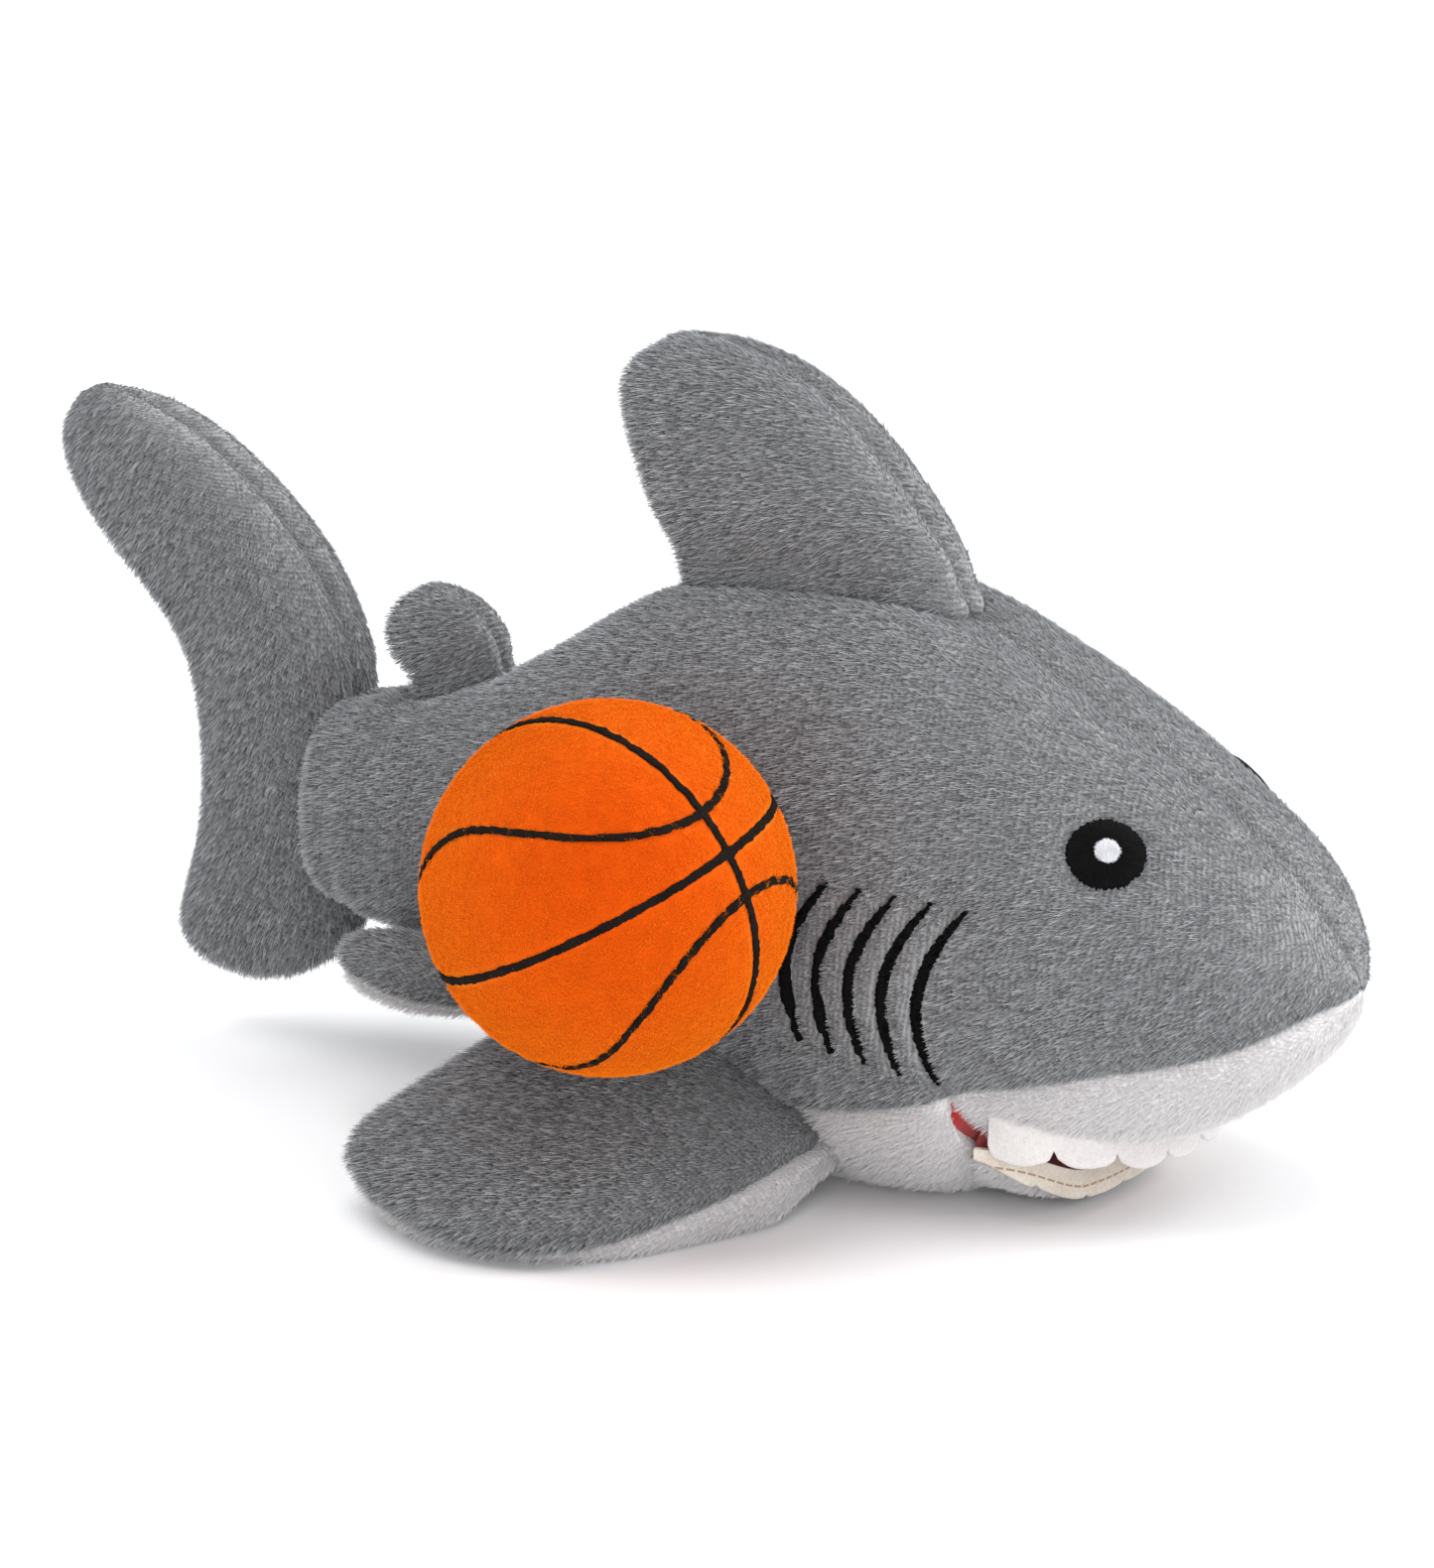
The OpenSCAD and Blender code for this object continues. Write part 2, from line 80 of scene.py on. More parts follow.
# How far the fabric's outside lies from the stuffing.
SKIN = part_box("back_panel_right")[1].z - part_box("body_stuffing")[1].z
UP = np.array([0.0, 0.0, 1.0])
LEFT = np.array([0.0, 1.0, 0.0])
NOSE = np.array([1.0, 0.0, 0.0])


# ---------------- numbers

def unit(v):
    return v / np.maximum(np.linalg.norm(v, axis=-1, keepdims=True), 1e-12)


def smooth(x, low, high):
    """0 up to low, 1 from high on, and an even curve between them."""
    t = np.clip((x - low) / (high - low), 0, 1)
    return t * t * (3 - 2 * t)


def ripple(points, size, seed, waves=10):
    """A soft noise from -1 to 1 over points in space, with bumps about size across."""
    rng = np.random.default_rng(seed)
    ways = unit(rng.normal(size=(waves, 3))) * rng.uniform(0.7, 1.4, (waves, 1)) * math.pi / size
    return np.sin(points @ ways.T + rng.uniform(0, 2 * math.pi, waves)).mean(-1) * math.sqrt(2)


def curve_through(rows, at):
    """The rows' smooth curve at the given places, where row 0 is at 0 and the next at 1."""
    at = np.asarray(at, float)
    last = len(rows) - 1
    i = np.clip(np.floor(at).astype(int), 0, last - 1)
    t = (at - i).reshape((-1,) + (1,) * (rows.ndim - 1))
    before = np.where((i > 0).reshape(t.shape), rows[np.maximum(i - 1, 0)], 2 * rows[0] - rows[1])
    beyond = 2 * rows[last] - rows[last - 1]
    after = np.where((i < last - 1).reshape(t.shape), rows[np.minimum(i + 2, last)], beyond)
    b, c = rows[i], rows[i + 1]
    return 0.5 * (2 * b + (c - before) * t + (2 * before - 5 * b + 4 * c - after) * t ** 2
                  + (3 * b - before - 3 * c + after) * t ** 3)


def crowded(count, share=0.6):
    """Steps from 0 to 1 that crowd towards both ends, where the seams are."""
    v = np.linspace(0, 1, count)
    return (1 - share) * v + share * (0.5 - 0.5 * np.cos(math.pi * v))


def normals_of(grid):
    along = np.gradient(grid, axis=0)
    across = np.gradient(grid, axis=1)
    return unit(np.cross(along, across))


def walk(grid, axis):
    """Distance along each row or column of a grid, from its start."""
    steps = np.linalg.norm(np.diff(grid, axis=axis), axis=-1)
    zero = np.zeros_like(np.take(steps, [0], axis=axis))
    return np.concatenate([zero, np.cumsum(steps, axis=axis)], axis=axis)


# ---------------- the frame's shapes

def merged(node):
    """A CAD node's points with the doubled ones joined, and each point's neighbours."""
    bm = bmesh.new()
    bm.from_mesh(NODES[node].data)
    bmesh.ops.remove_doubles(bm, verts=bm.verts, dist=1e-6)
    bm.verts.index_update()
    points = np.array([v.co for v in bm.verts])
    near = [[e.other_vert(v).index for e in v.link_edges] for v in bm.verts]
    bm.free()
    return points, near


def rings_of(node, outward, edge, side):
    """A stuffing solid's rings of points, running outward from one end cap.
    Each ring starts at its point that is furthest along edge, and goes towards side first."""
    points, near = merged(node)
    count = max(len(n) for n in near)
    caps = [i for i in range(len(points)) if len(near[i]) == count]
    start = min(caps, key=lambda i: points[i] @ outward)
    seen = {start}
    ring = set(near[start])
    rings = []
    while len(ring) == count:
        first = max(ring, key=lambda i: points[i] @ edge)
        order = [first, max((n for n in near[first] if n in ring), key=lambda i: points[i] @ side)]
        while len(order) < count:
            order.append(next(n for n in near[order[-1]] if n in ring and n != order[-2]))
        rings.append(points[order])
        seen |= ring
        ring = {n for r in ring for n in near[r]} - seen
    return np.array(rings)


def grown(rings, by):
    """Rings moved outwards by the fabric's thickness."""
    closed = np.concatenate([rings[:, -1:], rings, rings[:, :1]], axis=1)
    normal = normals_of(closed)[:, 1:-1]
    middle = rings.mean(axis=1, keepdims=True)
    if ((rings - middle) * normal).sum() < 0:
        normal = -normal
    return rings + normal * by


def cushioned(rings, plump, wrap):
    """A fin's rings made fuller: their front and back edges are blunt, and they are plump times as
    thick. wrap is how far the first panel goes round the edges, in radians, at the root and the tip."""
    half = rings.shape[1] // 2
    quarter = half // 2
    even = 2 * math.pi * np.arange(FIN_POINTS) / FIN_POINTS
    out = []
    for k, ring in enumerate(rings):
        a = even - (wrap[0] + (wrap[1] - wrap[0]) * k / len(rings)) * np.cos(even)
        along = np.sign(np.cos(a)) * abs(np.cos(a)) ** (2 / FULLNESS)
        across = np.sign(np.sin(a)) * abs(np.sin(a)) ** (2 / FULLNESS)
        ends = (ring[0] + ring[half]) / 2
        middle = (ring[quarter] + ring[-quarter]) / 2
        length = (ring[0] - ring[half]) / 2
        thickness = (ring[quarter] - ring[-quarter]) / 2 * plump
        out.append(ends + np.outer(np.sin(a) ** 2, middle - ends) + np.outer(along, length)
                   + np.outer(across, thickness))
    return np.array(out)


def tipped(rings, length):
    """Rings with a round end added after the last one."""
    middle = rings[-1].mean(axis=0)
    way = unit(middle - rings[-2].mean(axis=0))
    ends = [middle + (rings[-1] - middle) * size + way * length * out for size, out in ROUND_END]
    return np.concatenate([rings, ends])


def columns(rings, first, last):
    """The part of the rings from one point to another, going on past the end to the start."""
    return rings[:, [i % rings.shape[1] for i in range(first, last + 1)]]


def dense(grid, rows, cols):
    """A grid's smooth surface with more rows and columns, which crowd at the seams."""
    v = crowded(cols) * (grid.shape[1] - 1)
    wide = curve_through(grid.swapaxes(0, 1), v).swapaxes(0, 1)
    u = np.linspace(0, 1, rows) * (len(grid) - 1)
    return curve_through(wide, u)


# ---------------- meshes

def add_object(name, points, faces, uv=None):
    mesh = bpy.data.meshes.new(name)
    mesh.from_pydata([tuple(p) for p in points], [], faces)
    mesh.polygons.foreach_set("use_smooth", [True] * len(mesh.polygons))
    if uv is not None:
        layer = mesh.uv_layers.new(name="UVMap")
        corners = np.zeros(len(mesh.loops), dtype=np.int32)
        mesh.loops.foreach_get("vertex_index", corners)
        layer.data.foreach_set("uv", np.asarray(uv)[corners].astype(np.float32).ravel())
    mesh.update()
    obj = bpy.data.objects.new(name, mesh)
    bpy.context.scene.collection.objects.link(obj)
    return obj


def grid_faces(rows, cols, closed=False, flip=False, start=0):
    """The faces of a grid whose points are numbered from start, row by row."""
    faces = []
    for i in range(rows - 1):
        for j in range(cols if closed else cols - 1):
            k = (j + 1) % cols
            quad = (i * cols + j, i * cols + k, (i + 1) * cols + k, (i + 1) * cols + j)
            quad = tuple(start + q for q in quad)
            faces.append(quad[::-1] if flip else quad)
    return faces


def tree_of(grid, faces):
    return BVHTree.FromPolygons([tuple(p) for p in grid.reshape(-1, 3)], faces)


def outside(grid, middle):
    """True if a grid's own normals point away from a middle point."""
    return ((grid - middle) * normals_of(grid)).sum() > 0


def sheet_object(name, grid, middle):
    """A grid of points as a mesh whose faces look away from middle, with its UVs in millimetres."""
    uv = np.stack([walk(grid, 0), walk(grid, 1)], axis=-1) / MM
    rows, cols = grid.shape[:2]
    flip = outside(grid, middle)
    return add_object(name, grid.reshape(-1, 3), grid_faces(rows, cols, flip=flip), uv.reshape(-1, 2))


def attribute(obj, name, values):
    data = obj.data.attributes.new(name, "FLOAT", "POINT")
    data.data.foreach_set("value", np.asarray(values, np.float32).ravel())


# ---------------- materials

# In the UVs, which are in millimetres: how far apart the rows of pile are, the wave that parts the
# stitches of the teeth's seam, in radians to a millimetre, and how thick its thread is.
ROW_PITCH = 1.3
STITCH_WAVE = 2.6
THREAD = 0.44
# How strong a sheen is, and its colour.
NO_SHEEN = (0, (1, 1, 1))
FELT_SHEEN = (0.25, (1, 1, 1))
ORANGE_GLOW = (1.0, (1.0, 0.42, 0.03))


def add(tree, kind, inputs, output=0, **settings):
    """Adds a node to a tree. inputs gives each socket's value, or the socket that it is linked to."""
    node = tree.nodes.new(kind)
    for key, value in settings.items():
        setattr(node, key, value)
    for key, value in inputs.items():
        if isinstance(value, bpy.types.NodeSocket):
            tree.links.new(value, node.inputs[key])
        else:
            node.inputs[key].default_value = value
    return node.outputs[output]


def number(tree, operation, *values, **settings):
    return add(tree, "ShaderNodeMath", dict(enumerate(values)), operation=operation, **settings)


def noise(tree, vector, scale, detail=3.0, rough=0.55):
    return add(tree, "ShaderNodeTexNoise",
               {"Vector": vector, "Scale": scale, "Detail": detail, "Roughness": rough}, "Fac")


def coords(tree, source="Object", scale=(1, 1, 1)):
    """Texture coordinates squeezed by a scale along each axis."""
    coordinates = add(tree, "ShaderNodeTexCoord", {}, source)
    return add(tree, "ShaderNodeMapping", {"Vector": coordinates, "Scale": scale})


def ramp(tree, value, low, high, colours):
    """A colour that goes from the first to the second as value goes from low to high."""
    colour = add(tree, "ShaderNodeValToRGB", {"Fac": value})
    elements = colour.node.color_ramp.elements
    for element, position, own in zip(elements, (low, high), colours):
        element.position = position
        element.color = (*own, 1)
    return colour


def paint(name, **settings):
    """A material, its node tree and its shader, with the shader's settings."""
    mat = bpy.data.materials.new(name)
    mat.use_nodes = True
    shader = mat.node_tree.nodes["Principled BSDF"]
    for key, value in settings.items():
        shader.inputs[key.replace("_", " ")].default_value = value
    return mat, mat.node_tree, shader


def surface(tree, shader, colour, height, strength, distance):
    """Links a colour and a bump to a shader."""
    tree.links.new(colour, shader.inputs["Base Color"])
    normal = add(tree, "ShaderNodeBump", {"Height": height, "Strength": strength, "Distance": distance})
    tree.links.new(normal, shader.inputs["Normal"])


def plush_skin(name, dark, light):
    """The ground of a short-pile plush: streaks of leaning pile, broken up along the nap."""
    mat, tree, shader = paint(name, Roughness=0.95, Sheen_Weight=0.35, Sheen_Roughness=0.5,
                              Specular_IOR_Level=0.15)
    streaks = noise(tree, coords(tree, "UV", (0.45, 1.0, 1.0)), 1.1, 4.0, 0.65)
    patches = noise(tree, coords(tree), 55.0, 2.0)
    # A wave texture's bands are 2 pi / 20 of a unit apart at a scale of 1.
    rows = add(tree, "ShaderNodeTexWave", {"Vector": coords(tree, "UV"), "Distortion": 3.5, "Detail": 2.0,
                                           "Scale": 2 * math.pi / (20 * ROW_PITCH)}, "Fac")
    mixed = number(tree, "ADD", streaks, number(tree, "MULTIPLY", patches, 0.35))
    mixed = number(tree, "ADD", mixed, number(tree, "MULTIPLY", rows, 0.3))
    surface(tree, shader, ramp(tree, mixed, 0.5, 1.25, (dark, light)), mixed, 0.7, 0.7 * MM)
    return mat


def pile_strands(name, root, tip, spread, shade_between_rows, glow=NO_SHEEN):
    """The pile's own strands: darker at the root, a painted shade deep down in the pile, and each a little
    different.
    shade_between_rows is how much lighter the strands in the tufts' rows are and darker those between them,
    a painted shade in the gaps between rows, and spread how much one strand does."""
    mat, tree, shader = paint(name, Roughness=0.7, Specular_IOR_Level=0.08, Sheen_Weight=glow[0],
                              Sheen_Tint=(*glow[1], 1))
    along = add(tree, "ShaderNodeHairInfo", {}, "Intercept")
    own = number(tree, "MULTIPLY_ADD", along.node.outputs["Random"], spread, 1 - spread / 2)
    tuft = add(tree, "ShaderNodeAttribute", {}, "Fac", attribute_name="tuft")
    # Strands between the rows of tufts are darkened: painted shade in the gaps between rows.
    row_shade = number(tree, "MULTIPLY_ADD", tuft, shade_between_rows, 1 - 0.55 * shade_between_rows)
    # The ramp's root end is darker than its tip: painted shade deep down in the pile.
    colour = add(tree, "ShaderNodeHueSaturation", {"Color": ramp(tree, along, 0.0, 0.85, (root, tip)),
                                                   "Value": number(tree, "MULTIPLY", own, row_shade)})
    tree.links.new(colour, shader.inputs["Base Color"])
    return mat


def thread_material(name, dark, light):
    """Satin stitches side by side, which run across the UV's first direction."""
    mat, tree, shader = paint(name, Roughness=0.6, Specular_IOR_Level=0.05)
    lines = noise(tree, coords(tree, "UV", (2.6, 0.25, 1)), 1.6, 3.0, 0.6)
    surface(tree, shader, ramp(tree, lines, 0.3, 0.75, (dark, light)), lines, 0.8, 0.5 * MM)
    return mat


def felt_material(name, dark, light, glow=FELT_SHEEN, seam=None):
    """Pressed fibres lying every way. seam gives a sewn line's distance from the edge, and its colour."""
    mat, tree, shader = paint(name, Roughness=0.95, Specular_IOR_Level=0.05, Sheen_Weight=glow[0],
                              Sheen_Tint=(*glow[1], 1), Sheen_Roughness=0.6)
    fibres = noise(tree, coords(tree), 1600.0, 5.0, 0.75)
    clouds = noise(tree, coords(tree), 160.0, 2.0)
    mixed = number(tree, "ADD", fibres, number(tree, "MULTIPLY", clouds, 0.5))
    colour = ramp(tree, mixed, 0.5, 1.0, (dark, light))
    if seam:
        down = add(tree, "ShaderNodeSeparateXYZ", {0: coords(tree, "UV")})
        line = number(tree, "COMPARE", down, seam[0], 0.5 * THREAD)
        wave = number(tree, "SINE", number(tree, "MULTIPLY", down.node.outputs["Y"], STITCH_WAVE))
        dash = number(tree, "MULTIPLY", line, number(tree, "GREATER_THAN", wave, -0.75))
        colour = add(tree, "ShaderNodeMix", {"Factor": dash, "A": colour, "B": (*seam[1], 1)}, "Result",
                     data_type="RGBA")
    surface(tree, shader, colour, fibres, 0.5, 0.3 * MM)
    return mat


mat_grey = plush_skin("grey_plush", (0.100, 0.103, 0.104), (0.310, 0.315, 0.320))
mat_white = plush_skin("white_plush", (0.56, 0.535, 0.535), (0.80, 0.78, 0.78))
# Each pile's darker root colour is painted shade deep down in the pile; its tip colour is the plush's own
# grey or white.
mat_grey_pile = pile_strands("grey_pile", (0.072, 0.076, 0.079), (0.385, 0.396, 0.406), 0.25, 1.1)
mat_white_pile = pile_strands("white_pile", (0.54, 0.52, 0.52), (0.77, 0.755, 0.757), 0.12, 0.15)
mat_black_thread = thread_material("black_thread", (0.001, 0.001, 0.001), (0.008, 0.008, 0.009))
mat_white_thread = thread_material("white_thread", (0.55, 0.55, 0.58), (0.90, 0.90, 0.93))
mat_white_felt = felt_material("white_felt", (0.60, 0.565, 0.55), (0.80, 0.77, 0.755))
mat_cream_felt = felt_material("cream_felt", (0.58, 0.49, 0.40), (0.80, 0.74, 0.66),
                               seam=(3.3, (0.40, 0.27, 0.17)))
mat_red = felt_material("red_lining", (0.26, 0.010, 0.010), (0.50, 0.030, 0.028))
mat_orange = felt_material("orange_flock", (0.52, 0.036, 0.0004), (0.72, 0.075, 0.0008), ORANGE_GLOW)
# The orange is the flock's own; its darker roots are painted shade deep in the pile, and its much lighter,
# yellower tips a painted rim highlight where the tips show most at a slant.
mat_orange_pile = pile_strands("orange_pile", (0.45, 0.022, 0.0002), (0.92, 0.225, 0.003), 0.12, 0.1,
                               ORANGE_GLOW)


# ---------------- pile

# The pile's length, strands to a square metre, and thickness.
PILE = 1.9 * MM
LONG_PILE = 2.2 * MM
DENSITY = 5.0e6
STRAND_RADIUS = 0.07 * MM
# The pile's clumps: how many to a metre, and how far each one turns the strands.
CLUMPS = ((230.0, 0.55), (800.0, 0.75))
# Where the share of pile is less than this, none grows.
BARE = 0.12
# How far a strand's tip hangs along the nap, in strand lengths.
DROOP = 0.35


def vectors(tree, operation, *values, **settings):
    return add(tree, "ShaderNodeVectorMath", {**dict(enumerate(values)), **settings}, operation=operation)


def spots(tree, size, output="Fac"):
    """A noise in space, with about size spots to a metre."""
    position = add(tree, "GeometryNodeInputPosition", {})
    return add(tree, "ShaderNodeTexNoise", {"Vector": position, "Scale": size, "Detail": 1.0}, output)


def tufts(tree, rows):
    """How much each strand belongs to a tuft, from 0 to 1. rows is the share that lies in rows."""
    sheet = add(tree, "GeometryNodeInputNamedAttribute", {"Name": "UVMap"}, data_type="FLOAT_VECTOR")
    down = add(tree, "ShaderNodeSeparateXYZ", {0: sheet})
    wander = number(tree, "MULTIPLY", spots(tree, 210.0), 11.0)
    phase = number(tree, "MULTIPLY_ADD", down, 2 * math.pi / ROW_PITCH, wander)
    row = number(tree, "MULTIPLY_ADD", number(tree, "SINE", phase), 0.5, 0.5)
    broken = number(tree, "MULTIPLY_ADD", spots(tree, 620.0), 3.2, -1.1)
    rest = number(tree, "MULTIPLY", broken, 1 - rows)
    return number(tree, "MULTIPLY_ADD", row, rows, rest, use_clamp=True)


def directions(tree, normal, nap, lean, stray):
    """Which way each strand grows: off the skin, along the nap, in clumps, and a little by itself."""
    way = vectors(tree, "ADD", normal, vectors(tree, "SCALE", nap, Scale=lean))
    for size, amount in CLUMPS:
        centred = vectors(tree, "SUBTRACT", spots(tree, size, "Color"), (0.5, 0.5, 0.5))
        way = vectors(tree, "ADD", way, vectors(tree, "SCALE", centred, Scale=amount))
    own = add(tree, "FunctionNodeRandomValue", {0: (-stray,) * 3, 1: (stray,) * 3}, data_type="FLOAT_VECTOR")
    way = vectors(tree, "ADD", way, own)
    return add(tree, "FunctionNodeAlignRotationToVector", {"Vector": way}, axis="Z")


def pile(obj, strands, length, density, nap, seed, lean=1.0, radius=STRAND_RADIUS, rows=0.55):
    """Grows a leaning pile on a mesh. Its point attribute "pile" says how long it is, from 0 to 1.
    The strands are a hair object of their own, which reads the mesh wherever its body takes it."""
    name = obj.name + "_pile"
    tree = bpy.data.node_groups.new(name, "GeometryNodeTree")
    tree.interface.new_socket("Geometry", in_out="INPUT", socket_type="NodeSocketGeometry")
    tree.interface.new_socket("Geometry", in_out="OUTPUT", socket_type="NodeSocketGeometry")

    skin = add(tree, "GeometryNodeObjectInfo", {"Object": obj}, "Geometry", transform_space="RELATIVE")
    share = add(tree, "GeometryNodeInputNamedAttribute", {"Name": "pile"}, data_type="FLOAT")
    points = add(tree, "GeometryNodeDistributePointsOnFaces",
                 {"Mesh": skin, "Density": density, "Seed": seed}, "Points")
    bare = add(tree, "FunctionNodeCompare", {0: share, 1: BARE}, operation="LESS_THAN")
    kept = add(tree, "GeometryNodeDeleteGeometry", {"Geometry": points, "Selection": bare}, domain="POINT")
    tuft = tufts(tree, rows)
    marked = add(tree, "GeometryNodeStoreNamedAttribute", {"Name": "tuft", "Geometry": kept, "Value": tuft},
                 data_type="FLOAT", domain="POINT")

    line = add(tree, "GeometryNodeCurvePrimitiveLine", {"End": (0, 0, 1)})
    strand = add(tree, "GeometryNodeResampleCurve", {"Curve": line, "Count": 4})
    tall = add(tree, "FunctionNodeRandomValue", {2: 0.65 * length, 3: 1.2 * length}, 1, data_type="FLOAT")
    standing = number(tree, "MULTIPLY_ADD", tuft, 0.6, 0.55)
    sized = number(tree, "MULTIPLY", number(tree, "MULTIPLY", tall, share), standing)
    turn = directions(tree, points.node.outputs["Normal"], nap, lean, 0.28)
    put = add(tree, "GeometryNodeInstanceOnPoints", {"Points": marked, "Instance": strand, "Rotation": turn,
                                                     "Scale": sized})
    real = add(tree, "GeometryNodeRealizeInstances", {0: put})

    along = add(tree, "GeometryNodeSplineParameter", {}, "Factor")
    falling = tuple(DROOP * length * c for c in nap)
    hang = vectors(tree, "SCALE", falling, Scale=number(tree, "POWER", along, 2.0))
    bent = add(tree, "GeometryNodeSetPosition", {"Geometry": real, "Offset": hang})
    taper = add(tree, "ShaderNodeMapRange", {"To Min": radius, "To Max": radius * 0.35, "Value": along})
    thick = add(tree, "GeometryNodeSetCurveRadius", {"Curve": bent, "Radius": taper})
    painted = add(tree, "GeometryNodeSetMaterial", {"Material": strands, "Geometry": thick})
    tree.links.new(painted, tree.nodes.new("NodeGroupOutput").inputs[0])

    hair = bpy.data.objects.new(name, bpy.data.hair_curves.new(name))
    bpy.context.scene.collection.objects.link(hair)
    hair.modifiers.new("pile", "NODES").node_group = tree


# ---------------- seams and folds

def roll_in(distance, radius, depth):
    """How far fabric curls in at a seam, for a distance from it."""
    t = np.clip(1 - distance / radius, 0, 1)
    return -depth * (1 - np.sqrt(np.maximum(1 - t * t, 0)))


# How often a seam's curl is evened out from row to row.
EVEN_PASSES = 6


def outer_normals(grid, middle):
    """A grid's normals, which point away from a middle point."""
    return normals_of(grid) if outside(grid, middle) else -normals_of(grid)


def puffed(grid, middle, sewn, tips, roll=(3.2 * MM, 2.4 * MM), swell=(14 * MM, 1.6 * MM)):
    """A panel's surface curled in at its seams. sewn says which edges are seams, first and last column
    and then first and last row, and tips which end rows come to a point. roll and swell are how far from
    a seam the tight curl and the wide one start, and how deep each goes."""
    normal = outer_normals(grid, middle)
    across = walk(grid, 1)
    wide = across[:, -1:]
    rows = len(grid)
    for tip, here, inner, near in ((tips[0], 0, 5, np.arange(rows) < rows / 2),
                                   (tips[1], -1, -6, np.arange(rows) >= rows / 2)):
        if tip:
            way = unit(grid[here].mean(axis=0) - grid[inner].mean(axis=0))
            own = np.where(near[:, None], smooth(wide, 2 * MM, 14 * MM), 1.0)[..., None]
            normal = unit(normal * own + way * (1 - own))
    along = walk(grid, 0)
    edges = (across, wide - across, along, along[-1:] - along)
    nearest = np.minimum.reduce([edge for edge, wanted in zip(edges, sewn) if wanted])
    curl = roll_in(nearest, *roll) - swell[1] * np.clip(1 - nearest / swell[0], 0, 1) ** 2
    push = normal * (curl * smooth(wide, 3 * MM, 22 * MM))[..., None]
    for _ in range(EVEN_PASSES):
        push[1:-1] = (push[:-2] + 2 * push[1:-1] + push[2:]) / 4
    return grid + push, nearest


def dipped(grid, middle, line, radius, depth):
    """Presses a surface in along a line of points, such as where another piece is sewn on."""
    normal = outer_normals(grid, middle)
    flat = grid.reshape(-1, 3)
    gap = np.full(len(flat), 1.0)
    for p in line:
        gap = np.minimum(gap, np.linalg.norm(flat - p, axis=1))
    press = -depth * np.clip(1 - gap / radius, 0, 1) ** 1.5
    return grid + normal * press.reshape(grid.shape[:2])[..., None], gap.reshape(grid.shape[:2])


# ---------------- body

# The height of the body's middle line, and how many steps of each ring are under its two side seams.
BODY_HEART = 55 * MM
BELLY_POINTS = 10
# How far the stuffed nose goes past the CAD panel's end.
NOSE_PAST = 0.8 * MM
HULL_ROWS = 160
body_rings = grown(rings_of("body_stuffing", -NOSE, UP, -LEFT)[::-1], SKIN)
seams = (len(body_rings[0]) - BELLY_POINTS) // 2
nose_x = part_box("back_panel_right")[1].x
body_rings = tipped(body_rings, nose_x - body_rings[-1, :, 0].mean() + NOSE_PAST)
hull_points = curve_through(body_rings, np.linspace(0, len(body_rings) - 1, HULL_ROWS))
BODY_TREE = tree_of(hull_points, grid_faces(*hull_points.shape[:2], closed=True))


def body_rows(node):
    """The first and last ring of the body that a panel covers."""
    low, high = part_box(node)
    x = body_rings[:-len(ROUND_END), :, 0].mean(axis=1)
    return int(np.argmin(abs(x - low.x))), int(np.argmin(abs(x - high.x)))


def on_body(p, way=None):
    """The body skin's point nearest to p, or the one that a ray from p meets, with its outward normal."""
    if way is not None:
        place, normal, _, _ = BODY_TREE.ray_cast(Vector(p), Vector(way))
        if place is not None:
            normal = np.array(normal)
            return np.array(place), normal if normal @ np.array(way) < 0 else -normal
    place, normal, _, _ = BODY_TREE.find_nearest(Vector(p))
    normal = np.array(normal)
    centre = np.array([place.x, 0, BODY_HEART])
    return np.array(place), normal if normal @ (np.array(place) - centre) > 0 else -normal


# How far from the body's middle, and how far below the floor, the rays that look for its skin start.
BESIDE = 90 * MM
BELOW = 50 * MM


def flank(x, y, z):
    """The body's side at x and z, on its right where y is -1 and its left where it is 1."""
    return on_body((x, y * BESIDE, z), (0, -y, 0))


def underside(p):
    """The body's skin over a point of the floor."""
    return on_body((p[0], p[1], -BELOW), (0, 0, 1))[0]


# ---------------- fins

# Which edges of a panel are sewn: its sides, or its sides and its first or last row.
SIDES = (True, True, False, False)
SIDES_AND_FIRST = (True, True, True, False)
SIDES_AND_LAST = (True, True, False, True)
# How far a fin's round end goes on past its last ring.
FIN_END = 0.3 * MM
# How far from a fin's seam its tight curl and its wide one start, and how deep each goes.
FIN_ROLL = (4.0 * MM, 2.6 * MM)
FIN_SWELL = (9 * MM, 0.8 * MM)
# How much of a root's flare the first rings that are kept have.
FLARED = (1.0, 0.5, 0.15)


def rooted(rings, keep, flare, inward, reach, sink, follow):
    """A fin's rings carried on to the body, where the fin is sewn. keep is the first CAD ring kept,
    flare how much wider than it the root is along each axis, and follow how far the fin's own slope
    is kept to on the way in."""
    kept = rings[keep:].copy()
    for k, share in enumerate(FLARED):
        middle = kept[k].mean(axis=0)
        kept[k] = middle + (kept[k] - middle) * (1 + (np.array(flare) - 1) * share)
    wide = kept[0]
    root, deep = [], []
    slope = unit(kept[0] - kept[2])
    for p, down in zip(wide, slope):
        place, normal = on_body(p, unit(np.array(inward) * (1 - follow) + down * follow))
        if np.linalg.norm(place - p) > reach:
            place, normal = on_body(p + np.array(inward) * reach)
        root.append(place)
        deep.append(place - normal * sink)
    root = np.array(root)
    rise = (wide + root) / 2
    return np.concatenate([[np.array(deep)], [root], [rise], kept]), root


